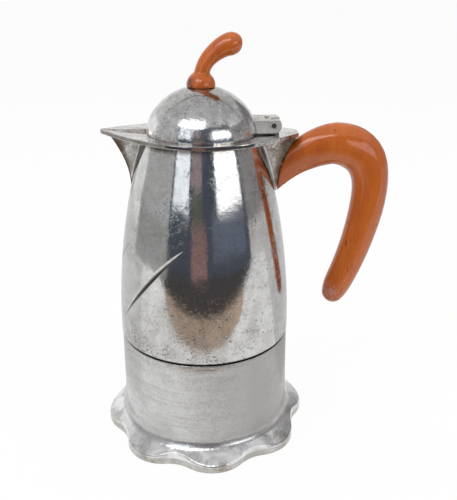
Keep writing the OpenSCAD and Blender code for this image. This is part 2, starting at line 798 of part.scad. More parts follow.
module channel_cutter() {
    run_out_x = rim_tip - spout_back - 1.5;
    run_out_depth = 1.4 * channel_tip_depth;
    run_out_z = rim_z + rim_rise(-run_out_x) - run_out_depth;
    run_out_half_w = channel_tip_half_w + 0.15 * (channel_half_w - channel_tip_half_w);
    tip_z = rim_z + rim_rise(-rim_tip) - channel_tip_depth;
    skin([
        channel_ring(seat_bore_r - 2, rim_z - channel_depth, channel_half_w, channel_depth),
        channel_ring(run_out_x, run_out_z, run_out_half_w, run_out_depth),
        channel_ring(rim_tip + 1, tip_z, channel_tip_half_w, channel_tip_depth)
    ]);
}

module along_screw(x) {
    translate([x, 0, handle_screw_z]) rotate([0, 90, 0]) children();
}

module collector() {
    color([0.78, 0.78, 0.78]) {
        difference() {
            union() {
                difference() {
                    union() {
                        barrel();
                        rim_plate();
                        spout_gusset();
                        bracket_gusset();
                    }
                    collector_cavities();
                }
                knuckle();
                along_screw(seat_face_x) cylinder(r = washer_r + embed, h = screw_boss_h + barrel_wall);
            }
            channel_cutter();
            along_screw(seat_face_x - over) {
                cylinder(r = screw_hole_r, h = bracket_face_x - seat_face_x + 2 * over);
            }
            translate([hinge_x, 0, hinge_z]) rotate([90, 0, 0]) {
                cylinder(r = pin_r + running_gap, h = 2 * ears_half_w, center = true);
            }
        }
        thread_ridge(
            skirt_r + embed, skirt_r - thread_depth, boiler_h + thread_rise + thread_pitch / 2, thread_turns
        );
    }
}

// ---- Coffee column ----
module riser_column() {
    top = chamber_z + column_h;
    outlet_z = top - column_top_r - outlet_cap_t - outlet_h;
    color([0.72, 0.72, 0.72]) difference() {
        rotate_extrude() polygon(concat(
            [[0, plenum_top], [spigot_r, plenum_top], [spigot_r, chamber_z], [column_foot_r, chamber_z]],
            [[column_foot_r, chamber_z + column_foot_t / 2], [column_low_r, chamber_z + column_foot_t]],
            arc_points(0, top - column_top_r, column_top_r, 0, 90, 8)
        ));
        translate([0, 0, plenum_top - over]) {
            cylinder(r = column_bore_r, h = outlet_z + outlet_h - plenum_top + over);
        }
        translate([-column_low_r, -outlet_w / 2, outlet_z]) cube([2 * column_low_r, outlet_w, outlet_h]);
    }
}

// ---- Lid ----
crown_r = (pow(dome_r - dome_shoulder_r, 2) + pow(dome_h, 2) - pow(dome_shoulder_r, 2))
    / (2 * (dome_h - dome_shoulder_r));
crown_z = dome_h - crown_r;
crown_a = atan2(-crown_z, dome_r - dome_shoulder_r);

// Half section of the dome, drawn in from its outer face by an inset
function dome_curve(inset) = concat(
    arc_points(dome_r - dome_shoulder_r, 0, dome_shoulder_r - inset, 0, crown_a, 10),
    arc_points(0, crown_z, crown_r - inset, crown_a, 90, 10)
);

module dome_solid(inset, drop) {
    translate([0, 0, rim_z]) rotate_extrude() polygon(concat(
        [[0, -drop], [dome_r - inset, -drop]], dome_curve(inset)
    ));
}

ear_gap_half = knuckle_half_w + free_gap;
web_x = hinge_x - knuckle_r - web_gap;
ear_root = hinge_x - dome_r + 6;
knob_seat_z = knob_z - knob_pad_t;

// Side view of the ears, which run from inside the dome to a round end about the pin
module ear_outline() {
    intersection() {
        union() {
            circle(r = ear_r);
            translate([-ear_root, -ear_r]) square([ear_root, 2 * ear_r]);
        }
        translate([-ear_root, -ear_r]) square([ear_root + ear_r, ear_r + ear_top]);
    }
}

module lid() {
    color([0.76, 0.77, 0.77]) difference() {
        union() {
            difference() {
                union() {
                    dome_solid(0, dome_drop);
                    translate([hinge_x, ears_half_w, hinge_z]) rotate([90, 0, 0]) {
                        linear_extrude(2 * ears_half_w) ear_outline();
                    }
                }
                dome_solid(dome_wall, dome_drop + over);
                translate([0, 0, knob_z]) cylinder(r = dome_shoulder_r, h = dome_flat + over);
            }
            translate([0, 0, knob_seat_z]) cylinder(r = washer_r + free_gap, h = knob_pad_t);
        }
        translate([0, 0, knob_seat_z - over]) cylinder(r = screw_hole_r, h = knob_pad_t + 2 * over);
        translate([web_x, -ear_gap_half, rim_z]) cube([ear_root, 2 * ear_gap_half, 2 * hinge_rise + ear_r]);
        translate([hinge_x, 0, hinge_z]) rotate([90, 0, 0]) {
            cylinder(r = pin_r + running_gap, h = 2 * ears_half_w + over, center = true);
        }
    }
}

module hinge_pin() {
    color([0.35, 0.35, 0.36]) translate([hinge_x, 0, hinge_z]) rotate([90, 0, 0]) {
        cylinder(r = pin_r, h = 2 * (ears_half_w - pin_recess), center = true);
    }
}

// ---- Knob ----
knob_stations = [
    [0.3, 4.2, 3.6, 3.6, 0], [0.5, 6.4, 3.6, 3.6, 0], [1.4, 9.1, 3.6, 3.6, 0], [3.4, 12.3, 3.8, 3.8, 0],
    [6.7, 15.4, 4.3, 4.3, 0], [10.3, 17.7, 4.8, 4.8, 0], [13.6, 18.9, 5.2, 5.2, 0],
    [16.4, 19.5, 4.5, 4.5, 0], [18.2, 19.8, 2.9, 2.9, 0], [19, 19.9, 0.8, 0.8, 0]
];

module knob() {
    color([0.74, 0.34, 0.12]) translate([0, 0, knob_z]) difference() {
        union() {
            intersection() {
                translate([0, 0, ball_rise]) sphere(r = ball_r);
                cylinder(r = 2 * ball_r, h = 2 * ball_r);
            }
            curved_bar(knob_stations, 3, 20);
        }
        translate([0, 0, -over]) cylinder(r = insert_hole_r, h = knob_insert_len + over);
    }
}

module knob_insert() {
    color([0.80, 0.64, 0.32]) translate([0, 0, knob_z]) ring(insert_r, screw_hole_r, knob_insert_len);
}

module knob_washer() {
    color([0.62, 0.63, 0.64]) translate([0, 0, knob_seat_z - washer_t]) {
        ring(washer_r, screw_hole_r, washer_t);
    }
}

module knob_screw() {
    color([0.66, 0.67, 0.68]) translate([0, 0, knob_seat_z - washer_t - screw_head_t]) {
        screw(screw_head_t + washer_t + knob_pad_t + knob_insert_len - screw_end_gap);
    }
}

// ---- Handle ----
// Stations run from the bracket over the shoulder and down the grip, with heights from the rim
handle_stations = [
    [31, -25.5, 6.6, 3.6, 0.6], [36.5, -19.8, 7, 4.6, 0.6], [43.3, -14.2, 7.8, 5.8, 0.5],
    [49.2, -10.6, 8.6, 7, 0.35], [55.6, -7.6, 9.4, 8, 0.15], [64, -5.6, 10.1, 8.8, 0],
    [72.8, -7.9, 10.5, 9.2, 0], [79.5, -14.3, 10, 9.2, 0], [82.4, -25, 8.9, 8.9, 0],
    [81.6, -39, 8.5, 8.5, 0], [78, -56, 7.9, 7.9, 0], [73.6, -70, 7.4, 7.4, 0], [69.8, -79.6, 7, 7, 0],
    [67.7, -85, 6, 6, 0], [66.5, -88.3, 4.4, 4.4, 0], [65.8, -90.2, 1.2, 1.2, 0]
];
insert_x = bracket_face_x + joint_gap + 1.2;

module handle() {
    color([0.74, 0.34, 0.12]) difference() {
        translate([0, 0, rim_z]) curved_bar(handle_stations, 3, 20);
        difference() {
            translate([0, -2 * bracket_half_w, joint_z - joint_r]) {
                cube([rim_tab + 4, 4 * bracket_half_w, 2 * joint_r]);
            }
            translate([joint_x, 0, joint_z]) rotate([90, 0, 0]) {
                cylinder(r = joint_r - joint_gap, h = 6 * bracket_half_w, center = true, $fn = fine_fn);
            }
        }
        along_screw(insert_x - joint_r / 4) {
            cylinder(r = insert_hole_r, h = handle_insert_len + joint_r / 4 + over);
        }
    }
}

module handle_insert() {
    color([0.80, 0.64, 0.32]) along_screw(insert_x) ring(insert_r, screw_hole_r, handle_insert_len);
}

module handle_washer() {
    color([0.62, 0.63, 0.64]) along_screw(seat_face_x - washer_t) ring(washer_r, screw_hole_r, washer_t);
}

module handle_screw() {
    color([0.66, 0.67, 0.68]) along_screw(seat_face_x - washer_t - screw_head_t) {
        screw(insert_x + handle_insert_len - screw_end_gap - seat_face_x + washer_t + screw_head_t);
    }
}

boiler();
valve_body();
valve_washer();
valve_poppet();
valve_spring();
valve_cap();
funnel();
funnel_sieve();
gasket();
filter_plate();
collector();
riser_column();
lid();
hinge_pin();
knob();
knob_insert();
knob_screw();
knob_washer();
handle();
handle_insert();
handle_screw();
handle_washer();
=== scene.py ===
import math

import bpy
from mathutils import Matrix, Vector


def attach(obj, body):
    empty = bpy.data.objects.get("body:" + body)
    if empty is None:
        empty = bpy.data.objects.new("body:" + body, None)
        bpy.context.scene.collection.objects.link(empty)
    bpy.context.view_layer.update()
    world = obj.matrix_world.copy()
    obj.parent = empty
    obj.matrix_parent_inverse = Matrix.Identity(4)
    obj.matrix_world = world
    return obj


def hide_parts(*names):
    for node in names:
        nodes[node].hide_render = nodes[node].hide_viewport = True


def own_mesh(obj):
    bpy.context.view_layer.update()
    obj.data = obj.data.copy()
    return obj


mm = 0.001
mergeGap = {"made": 1e-6, "cad": 2e-7, "sliver": 3e-6}  # in metres: closer vertices become one
alongX, alongY = (0, math.pi / 2, 0), (math.pi / 2, 0, 0)
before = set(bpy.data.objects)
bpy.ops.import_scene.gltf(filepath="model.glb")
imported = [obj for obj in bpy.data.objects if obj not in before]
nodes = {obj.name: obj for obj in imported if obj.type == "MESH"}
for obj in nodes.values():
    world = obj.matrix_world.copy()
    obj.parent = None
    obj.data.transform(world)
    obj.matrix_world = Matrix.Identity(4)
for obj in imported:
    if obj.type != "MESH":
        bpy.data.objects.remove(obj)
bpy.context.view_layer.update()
print("frame loaded:", len(nodes), "nodes")


def putDown():
    if bpy.context.mode != "OBJECT":
        bpy.ops.object.mode_set(mode="OBJECT")
    bpy.ops.object.select_all(action="DESELECT")


def takeUp(*pieces):
    putDown()
    for piece in pieces:
        piece.select_set(True)
    bpy.context.view_layer.objects.active = pieces[0]
    return pieces[0]


def editAll(piece):
    # edit mode with every vertex selected
    takeUp(piece)
    bpy.ops.object.mode_set(mode="EDIT")
    bpy.ops.mesh.select_mode(type="VERT")
    bpy.ops.mesh.select_all(action="SELECT")


def editOff():
    bpy.ops.object.mode_set(mode="OBJECT")


def setOrigin(piece):
    takeUp(piece)
    bpy.ops.object.transform_apply(location=True, rotation=True, scale=True)


def drawLine(points):
    # one point grows into a line, vertex by vertex; edit mode is on and the rest is deselected
    bpy.ops.mesh.primitive_plane_add(size=mm, location=points[0])
    bpy.ops.mesh.merge(type="CENTER")
    for a, b in zip(points, points[1:]):
        step = [b[i] - a[i] for i in range(3)]
        bpy.ops.mesh.extrude_vertices_move(TRANSFORM_OT_translate={"value": step})


def newPiece(name):
    # an empty mesh in edit mode
    putDown()
    bpy.ops.mesh.primitive_plane_add(size=mm, location=(0, 0, 0))
    piece = bpy.context.active_object
    piece.name = name
    piece.data.name = name
    editAll(piece)
    bpy.ops.mesh.delete(type="VERT")
    return piece


def mergeAll(gap="made"):
    bpy.ops.mesh.select_all(action="SELECT")
    bpy.ops.mesh.remove_doubles(threshold=mergeGap[gap])


def cleanUp():
    mergeAll()
    bpy.ops.mesh.normals_make_consistent(inside=False)


def fillOpenEnds():
    bpy.ops.mesh.select_all(action="DESELECT")
    bpy.ops.mesh.select_non_manifold()
    bpy.ops.mesh.edge_face_add()
    cleanUp()
    editOff()


def turnPiece(name, profile, steps):
    # profile is a list of (radius, height) in mm, and a closed one ends where it starts
    piece = newPiece(name)
    drawLine([(r * mm, 0, z * mm) for r, z in profile])
    bpy.ops.mesh.select_all(action="SELECT")
    bpy.ops.mesh.spin(steps=steps, angle=2 * math.pi, center=(0, 0, 0), axis=(0, 0, 1))
    cleanUp()
    editOff()
    return piece


def lofted(name, loops):
    # skins closed loops of points in mm, and fills the two end loops
    piece = newPiece(name)
    for loop in loops:
        bpy.ops.mesh.select_all(action="DESELECT")
        drawLine([tuple(c * mm for c in p) for p in loop + loop[:1]])
    mergeAll()
    bpy.ops.mesh.bridge_edge_loops()
    fillOpenEnds()
    return piece


def cylinder(sides, radius, depth, centre, turn):
    bpy.ops.mesh.primitive_cylinder_add(vertices=sides, radius=radius * mm, depth=depth * mm,
                                        location=[c * mm for c in centre], rotation=turn)
    made = bpy.context.active_object
    setOrigin(made)
    return made


def cadCopy(node, name):
    piece = bpy.data.objects.new(name, nodes[node].data.copy())
    bpy.context.scene.collection.objects.link(piece)
    editAll(piece)
    mergeAll("cad")
    editOff()
    piece.data.materials.clear()
    return piece


def applied(piece, kind, **settings):
    takeUp(piece)
    bpy.ops.object.modifier_add(type=kind)
    modifier = piece.modifiers[-1]
    for key, value in settings.items():
        setattr(modifier, key, value)
    bpy.ops.object.modifier_apply(modifier=modifier.name)


def combined(piece, tool, operation):
    # union or difference; the tool is used up
    applied(piece, "BOOLEAN", object=tool, operation=operation, solver="EXACT")
    bpy.data.objects.remove(tool)


def mended(piece):
    # closes up the slivers that the cuts and joins leave
    editAll(piece)
    mergeAll("sliver")
    bpy.ops.mesh.dissolve_degenerate(threshold=mergeGap["sliver"])
    editOff()


def smoothed(piece, degrees):
    takeUp(piece)
    bpy.ops.object.shade_smooth_by_angle(angle=math.radians(degrees))


def arc(cx, cz, radius, start, end, steps):
    turns = [math.radians(start + (end - start) * i / steps) for i in range(steps + 1)]
    return [(cx + radius * math.cos(a), cz + radius * math.sin(a)) for a in turns]


def softCorner(before, corner, after, radius, steps):
    # points of a small rounded corner between two straight runs of a profile
    ways = []
    for other in (before, after):
        length = math.dist(corner, other)
        ways.append([(other[i] - corner[i]) / length * radius + corner[i] for i in (0, 1)])
    points = []
    for k in range(steps + 1):
        t = k / steps
        shares = ((1 - t) ** 2, 2 * t * (1 - t), t * t)
        points.append(tuple(shares[0] * ways[0][i] + shares[1] * corner[i] + shares[2] * ways[1][i]
                            for i in (0, 1)))
    return points


def dressed(piece, node, body, paint):
    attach(piece, body)
    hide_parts(node)
    piece.data.materials.clear()
    piece.data.materials.append(paint)


class Wire:
    # wraps a socket, so that sums on it add Math nodes
    def __init__(self, board, socket):
        self.board = board
        self.socket = socket

    def work(self, operation, *values):
        return self.board.maths(operation, *values)

    def __add__(self, other):
        return self.work("ADD", self, other)

    def __radd__(self, other):
        return self.work("ADD", other, self)

    def __sub__(self, other):
        return self.work("SUBTRACT", self, other)

    def __rsub__(self, other):
        return self.work("SUBTRACT", other, self)

    def __mul__(self, other):
        return self.work("MULTIPLY", self, other)

    def __rmul__(self, other):
        return self.work("MULTIPLY", other, self)

    def __truediv__(self, other):
        return self.work("DIVIDE", self, other)

    def clamp(self):
        return self.board.node("ShaderNodeClamp", {}, {"Value": self})


class Board:
    # the node tree of one material, or of the world
    def __init__(self, owner):
        owner.use_nodes = True
        self.owner = owner
        self.tree = owner.node_tree
        self.tree.nodes.clear()

    def node(self, kind, settings=None, inputs=None, out=0):
        made = self.tree.nodes.new(kind)
        for key, value in (settings or {}).items():
            setattr(made, key, value)
        pairs = enumerate(inputs) if isinstance(inputs, list) else (inputs or {}).items()
        for key, value in pairs:
            if isinstance(value, Wire):
                self.tree.links.new(value.socket, made.inputs[key])
            else:
                made.inputs[key].default_value = value
        return Wire(self, made.outputs[out]) if len(made.outputs) else None

    def maths(self, operation, *values):
        return self.node("ShaderNodeMath", {"operation": operation}, list(values))

    def place(self):
        return self.node("ShaderNodeTexCoord", out="Object")

    def mapped(self, where, scale=(1, 1, 1), turn=(0, 0, 0), shift=(0, 0, 0)):
        inputs = {"Vector": where, "Scale": scale, "Rotation": turn, "Location": shift}
        return self.node("ShaderNodeMapping", {}, inputs)

    def noise(self, where, scale, detail=4, rough=0.55, bend=0):
        return self.node("ShaderNodeTexNoise", {}, {"Vector": where, "Scale": scale, "Detail": detail,
                                                    "Roughness": rough, "Distortion": bend}, out="Fac")

    def cells(self, where, scale):
        return self.node("ShaderNodeTexVoronoi", {}, {"Vector": where, "Scale": scale}, out="Distance")

    def axes(self, where):
        made = self.node("ShaderNodeSeparateXYZ", {}, {"Vector": where})
        outputs = made.socket.node.outputs
        return [Wire(self, outputs[i]) for i in range(3)]

    def joinAxes(self, x, y, z):
        return self.node("ShaderNodeCombineXYZ", {}, [x, y, z])

    def ramp(self, value, low, high, start=0.0, end=1.0):
        inputs = {"Value": value, "From Min": low, "From Max": high, "To Min": start, "To Max": end}
        return self.node("ShaderNodeMapRange", {"clamp": True}, inputs)

    def blend(self, share, first, second):
        made = self.tree.nodes.new("ShaderNodeMix")
        made.data_type = "RGBA"
        for key, value in ((0, share), (6, first), (7, second)):
            if isinstance(value, Wire):
                self.tree.links.new(value.socket, made.inputs[key])
            else:
                made.inputs[key].default_value = (*value, 1) if isinstance(value, tuple) else value
        return Wire(self, made.outputs[2])

    def bump(self, height, strength, distance, under=None):
        inputs = {"Height": height, "Strength": strength, "Distance": distance}
        if under is not None:
            inputs["Normal"] = under
        return self.node("ShaderNodeBump", {}, inputs, out="Normal")

    def finish(self, **sockets):
        names = {"colour": "Base Color", "rough": "Roughness", "metal": "Metallic", "normal": "Normal",
                 "coat": "Coat Weight", "coatRough": "Coat Roughness", "ior": "IOR"}
        inputs = {}
        for key, value in sockets.items():
            inputs[names[key]] = (*value, 1) if isinstance(value, tuple) else value
        shader = self.node("ShaderNodeBsdfPrincipled", {}, inputs)
        self.node("ShaderNodeOutputMaterial", {}, {"Surface": shader})
        return self.owner


collectorSize = {
    "foot": 56, "footRadius": 43.5, "curve": 328, "wall": 3, "top": 155.85, "skirt": 38.5,
    "skirtTop": 66.8, "gasketRadius": 36.65, "gasketTop": 70.3, "plenumRadius": 27.5, "plenumTop": 72,
    "spigot": 6.05, "chamberFloor": 75, "ledge": 152.3, "seat": 24.7, "rimBottom": 155.3, "rimHole": 26.4,
    "flareFrom": 156.2, "skirtRound": 0.45, "columns": 256,
}
rimSize = {
    "height": 156.8, "thick": 1.9, "sweep": 820, "lowX": 14.5, "tip": 47.3, "tab": 45.5, "half": 30,
    "tipHalf": 1.2, "tabHalf": 4.2, "fullness": 1.9, "edge": 0.35, "stations": 64, "crowd": 0.65,
    "root": 1.5,
}
lidSize = {
    "radius": 26.1, "height": 22, "shoulder": 17, "wall": 1.6, "drop": 1.5, "flat": 0.9, "padRadius": 4.9,
    "padThick": 2, "padDrop": 0.4, "padHole": 2.05, "skirtRound": 0.3, "columns": 192,
}
metal = {
    "bright": (0.69, 0.69, 0.69), "patina": (0.44, 0.43, 0.415), "grime": (0.26, 0.17, 0.10),
    "pit": (0.14, 0.125, 0.11), "seamShadow": (0.03, 0.027, 0.024), "cut": (0.07, 0.062, 0.05),
    "coffee": (0.33, 0.265, 0.20), "hollowReflection": (0.21, 0.175, 0.14), "brow": (0.05, 0.04, 0.03),
    "crust": (0.05, 0.035, 0.025), "handleSideShade": (0.36, 0.35, 0.34), "flange": (0.82, 0.82, 0.83),
    "edgeFace": (0.38, 0.365, 0.33), "hingeSideShade": (0.36, 0.355, 0.35), "paintedTopLight": (0.80, 0.80, 0.81),
    "ears": (0.80, 0.785, 0.76),
}


def metalPaint(name, tone, rough, haze, pits, scratch, patina, local, level=False, grime=None,
               blotch=60, lines=0.35, wave=0.05):
    board = Board(bpy.data.materials.new(name))
    where = board.place()
    x, y, z = board.axes(where)
    broad = board.noise(where, blotch * 0.45, 4, 0.6, 0.6)
    cloud = board.noise(where, blotch * 2.4, 5, 0.68, 0.3)
    mottled = board.ramp(broad * 0.5 + cloud * 0.5, 0.40, 0.60)
    grain = board.noise(where, 1300, 2, 0.6)
    # pits, specks and short cracks, crowded where the slow noise is high
    crowd = board.ramp(board.noise(board.mapped(where, shift=(0.3, 0.1, 0.2)), 26, 3, 0.6), 0.42, 0.62)
    speck = board.ramp(board.noise(where, 640, 3, 0.7), 0.60, 0.68) * (crowd * 0.8 + 0.2)
    hole = board.cells(board.mapped(where, shift=(0.2, 0.5, 0.4)), 230)
    pit = board.ramp(hole, 0.06, 0.15, 1, 0) * board.ramp(crowd, 0.3, 0.8)
    vein = board.noise(where, 190, 4, 0.65, 1.6)
    crack = board.ramp(board.maths("ABSOLUTE", vein - 0.5), 0.004, 0.014, 1, 0) \
        * board.ramp(board.noise(where, 120, 2), 0.53, 0.61)
    flaw = (speck * 0.8 + pit + crack * crowd).clamp() * pits
    # fine scratches: level ones round the axis, or upright and level ones crossed
    if level:
        turn = board.maths("ARCTAN2", y, x)
        fine = board.noise(board.joinAxes(turn * 0.16, z * 120, 0.0), 6.5, 3, 0.7) * 0.55 \
            + board.noise(board.joinAxes(turn * 0.7, z * 45, 0.4), 9, 3, 0.7) * 0.45
    else:
        fine = board.noise(board.mapped(where, (60, 60, 900), (0.5, 0.2, 0.3)), 1, 3, 0.7) * 0.5 \
            + board.noise(board.mapped(where, (900, 60, 60), (0.1, 0.6, 0.2)), 1, 3, 0.7) * 0.5
    # a thin dull bloom between the polished places
    frost = board.ramp(board.noise(board.mapped(where, shift=(0.7, 0.2, 0.6)), 480, 4, 0.7, 0.8), 0.50, 0.66)
    frost = frost * (mottled * 0.6 + crowd * 0.4)
    bright = tuple(c * tone for c in metal["bright"])
    dull = tuple(c * tone for c in metal["patina"])
    colour = board.blend(mottled * patina, bright, dull)
    colour = board.blend(frost * 0.5, colour, tuple(c * 0.65 for c in dull))
    colour = board.blend(board.ramp(grain * 0.35 + fine * 0.65, 0.46, 0.64) * lines, colour, dull)
    if grime:
        start, end, amount = grime
        band = board.ramp(z, start * mm, end * mm) \
            * board.ramp(cloud * 0.6 + grain * 0.4, 0.46, 0.58) * amount
        colour = board.blend(band, colour, metal["grime"])
    colour = board.blend(flaw * 0.8, colour, metal["pit"])
    roughness = board.ramp(mottled * 0.5 + cloud * 0.2 + fine * 0.3, 0.15, 0.85, rough, rough + haze) \
        + flaw * 0.2
    colour, roughness = local(board, (x / mm, y / mm, z / mm), cloud, colour, roughness)
    roughness = roughness.clamp()
    normal = board.bump(fine * 0.6 + grain * 0.4, scratch, 0.00008)
    normal = board.bump(1 - flaw, 0.24, 0.00012, normal)
    normal = board.bump(cloud, 0.10, 0.0005, normal)
    normal = board.bump(broad, wave, 0.003, normal)
    return board.finish(colour=colour, rough=roughness, metal=1.0, normal=normal)


def axisRadius(board, x, y):
    return board.maths("SQRT", x * x + y * y)


def gritMask(board, place, patch, low, high):
    # fine specks, in patches
    spot = board.joinAxes(*place)
    return board.ramp(board.noise(spot, 0.95, 3, 0.7), 0.50, 0.60) \
        * board.ramp(board.noise(spot, patch, 2), low, high)


# where each wear, painted shade and painted light begins and where it is full, in mm: off is the distance
# outside the barrel's curve
barrelWearShadeAndReflectionAt = {
    "cut": (-0.35, -0.9), "cutFloor": (-2.5, -2.1), "cutsTop": (134, 130), "inside": (-2.3, -2.7),
    "insideTop": (154.5, 153.5), "low": (90, 62), "gritLow": (86, 64), "gritSide": (14, 24),
    "gritHigh": (105, 130), "seam": (56.8, 56.3), "underRim": (154.8, 154.3), "proud": (0.25, 1.2),
    "brow": (152.4, 154.2), "browOff": (0.6, 0.2), "browSide": (4, -14), "crust": (0.5, 0.08),
    "crustLow": (128, 132), "crustHalf": (12, 9),
}
boilerWearShadeAndLightAt = {
    "seam": (43.0, 42.6), "seamLow": (54.6, 54.9), "seamHigh": (56.8, 56.2), "handleSideShadeAt": (-14, 24),
    "wall": (45, 44), "flange": (44.6, 46.5), "edgeFace": (4.0, 3.3), "flangeEnd": (48.5, 51.5),
}
lidWearShadeAndLightAt = {
    "ears": (0.1, 0.4), "earsTop": (165.4, 165.0), "earsFrom": (17, 19), "hingeSideShade": (-4, 14),
    "crown": (161, 166), "paintedTopLight": (169, 163), "edge": (157.6, 156.2),
}


def barrelWearShadeAndReflection(board, place, cloud, colour, roughness):
    # the cuts darkened, grime inside the pot, painted shade low on the barrel, and dull castings under the
    # rim with a painted dark reflection and shade on their hollow sides
    x, y, z = place
    s, at = collectorSize, barrelWearShadeAndReflectionAt
    lift = z - s["foot"]
    surface = board.maths("SQRT", s["curve"] ** 2 - lift * lift) - (s["curve"] - s["footRadius"])
    off = axisRadius(board, x, y) - surface
    cut = board.ramp(off, *at["cut"]) * board.ramp(off, *at["cutFloor"]) * board.ramp(z, *at["cutsTop"])
    # the cuts are painted darker
    colour = board.blend(cut * 0.9, colour, metal["cut"])
    inside = board.ramp(off, *at["inside"]) * board.ramp(z, *at["insideTop"])
    colour = board.blend(inside * board.ramp(cloud, 0.36, 0.62, 0.45, 0.8), colour, metal["coffee"])
    # painted shade: darker toward the bottom, in patina-coloured patches, standing in for a dimmer reflection
    # of the floor
    low = board.ramp(z, *at["low"]) * board.ramp(cloud, 0.40, 0.6, 0.0, 0.35)
    colour = board.blend(low, colour, metal["patina"])
    gritty = (board.ramp(z, *at["gritLow"])
              + board.ramp(x, *at["gritSide"]) * board.ramp(z, *at["gritHigh"])).clamp()
    colour = board.blend(gritMask(board, place, 0.09, 0.50, 0.60) * gritty * 0.75, colour, metal["pit"])
    # painted shadow: the collector's foot is painted black at the seam
    colour = board.blend(board.ramp(z, *at["seam"]), colour, metal["seamShadow"])
    under = board.ramp(z, *at["underRim"])
    proud = board.ramp(off, *at["proud"]) * under
    # painted reflection and shade: the hollow sides of the spout and bracket are painted dark brown
    colour = board.blend(proud * board.ramp(cloud, 0.34, 0.58, 0.25, 0.92), colour, metal["hollowReflection"])
    # dark dirt where the rim and the castings meet the barrel
    brow = board.ramp(z, *at["brow"]) * board.ramp(board.maths("ABSOLUTE", off), *at["browOff"]) * under \
        * board.ramp(x, *at["browSide"], 0.3, 0.95) * board.ramp(cloud, 0.36, 0.54)
    colour = board.blend(brow, colour, metal["brow"])
    crust = board.ramp(board.maths("ABSOLUTE", off - 0.1), *at["crust"]) \
        * board.ramp(z, *at["crustLow"]) * under * board.ramp(board.maths("ABSOLUTE", y), *at["crustHalf"])
    colour = board.blend(crust * 0.75, colour, metal["crust"])
    return colour, roughness + cut * 0.3 + proud * 0.16 + inside * 0.28


def boilerWearShadeAndLight(board, place, cloud, colour, roughness):
    # painted shadow in the seam, painted shade on the handle side, painted light in patches on the flange,
    # and a grimy edge
    x, y, z = place
    at = boilerWearShadeAndLightAt
    radius = axisRadius(board, x, y)
    # painted shade: the wall is painted darker toward the handle side, away from the light
    handleSideShade = board.ramp(x, *at["handleSideShadeAt"]) * board.ramp(radius, *at["wall"]) * 0.85
    colour = board.blend(handleSideShade, colour, metal["handleSideShade"])
    # painted shadow: the shoulder and neck inside the seam are painted black
    seam = board.ramp(radius, *at["seam"]) * board.ramp(z, *at["seamLow"]) * board.ramp(z, *at["seamHigh"])
    colour = board.blend(seam * 0.95, colour, metal["seamShadow"])
    flange = board.ramp(radius, *at["flange"])
    # painted light: the flange, which faces up, is painted lighter in patches
    smear = board.ramp(board.noise(board.joinAxes(x, y, z), 0.085, 2, 0.5, 0.6), 0.42, 0.58)
    colour = board.blend(flange * (1 - smear) * 0.95, colour, metal["flange"])
    edgeFace = flange * board.ramp(z, *at["edgeFace"]) * board.ramp(cloud, 0.34, 0.58, 0.5, 0.85)
    colour = board.blend(edgeFace, colour, metal["edgeFace"])
    stain = board.ramp(radius, *at["flangeEnd"]) * board.ramp(cloud, 0.54, 0.64) * 0.5
    colour = board.blend(stain, colour, metal["grime"])
    return colour, roughness + seam * 0.3 - flange * 0.12


def lidWearShadeAndLight(board, place, cloud, colour, roughness):
    # the cast ears are duller than the dome, which has painted shade on its hinge side and painted light on
    # its top, and is stained round its edge
    x, y, z = place
    at = lidWearShadeAndLightAt
    rise, bend = z - rimSize["height"], lidSize["shoulder"]
    dome = board.maths("SQRT", board.maths("MAXIMUM", bend ** 2 - rise * rise, 1)) \
        + (lidSize["radius"] - bend)
    ears = board.ramp(axisRadius(board, x, y) - dome, *at["ears"]) * board.ramp(z, *at["earsTop"]) \
        * board.ramp(x, *at["earsFrom"])
    # painted shade: the dome is painted darker toward the hinge side, in patches
    shade = board.ramp(x, *at["hingeSideShade"]) * board.ramp(cloud, 0.36, 0.56, 0.2, 0.95) \
        * board.ramp(z, *at["crown"])
    colour = board.blend(shade * (1 - ears), colour, metal["hingeSideShade"])
    # painted light: the top of the dome is painted lighter, in patches
    paintedTopLight = board.ramp(z, *at["paintedTopLight"]) * board.ramp(cloud, 0.40, 0.62, 1, 0.35) * 0.85
    colour = board.blend(paintedTopLight * (1 - ears), colour, metal["paintedTopLight"])
    colour = board.blend(ears * 0.7, colour, metal["ears"])
    colour = board.blend(gritMask(board, place, 0.11, 0.46, 0.58) * 0.55, colour, metal["pit"])
    edge = board.ramp(z, *at["edge"]) * board.ramp(cloud, 0.40, 0.6) * (1 - ears)
    colour = board.blend(edge * 0.55, colour, metal["grime"])
    return colour, roughness + ears * 0.42


def plainPaint(name, colour, rough, dark, metallic, scale, spread, bump):
    # one colour with darker clouds
    board = Board(bpy.data.materials.new(name))
    cloud = board.noise(board.place(), scale, 4, 0.6)
    shade = board.blend(board.ramp(cloud, 0.35, 0.68), colour, tuple(c * dark for c in colour))
    return board.finish(colour=shade, rough=board.ramp(cloud, 0.3, 0.7, rough, rough + spread),
                        metal=metallic, normal=board.bump(cloud, bump, 0.0002))


def plainMetal(name, colour, rough, dark=0.7):
    return plainPaint(name, colour, rough, dark, 1.0, 180, 0.18, 0.12)


def dullPaint(name, colour, rough):
    return plainPaint(name, colour, rough, 0.8, 0.0, 260, 0.15, 0.25)


wood = {
    "light": (0.52, 0.128, 0.017), "mid": (0.42, 0.083, 0.009), "deep": (0.25, 0.038, 0.006),
    "fleck": (0.055, 0.012, 0.005), "worn": (0.07, 0.030, 0.018), "bare": (0.42, 0.23, 0.20),
}


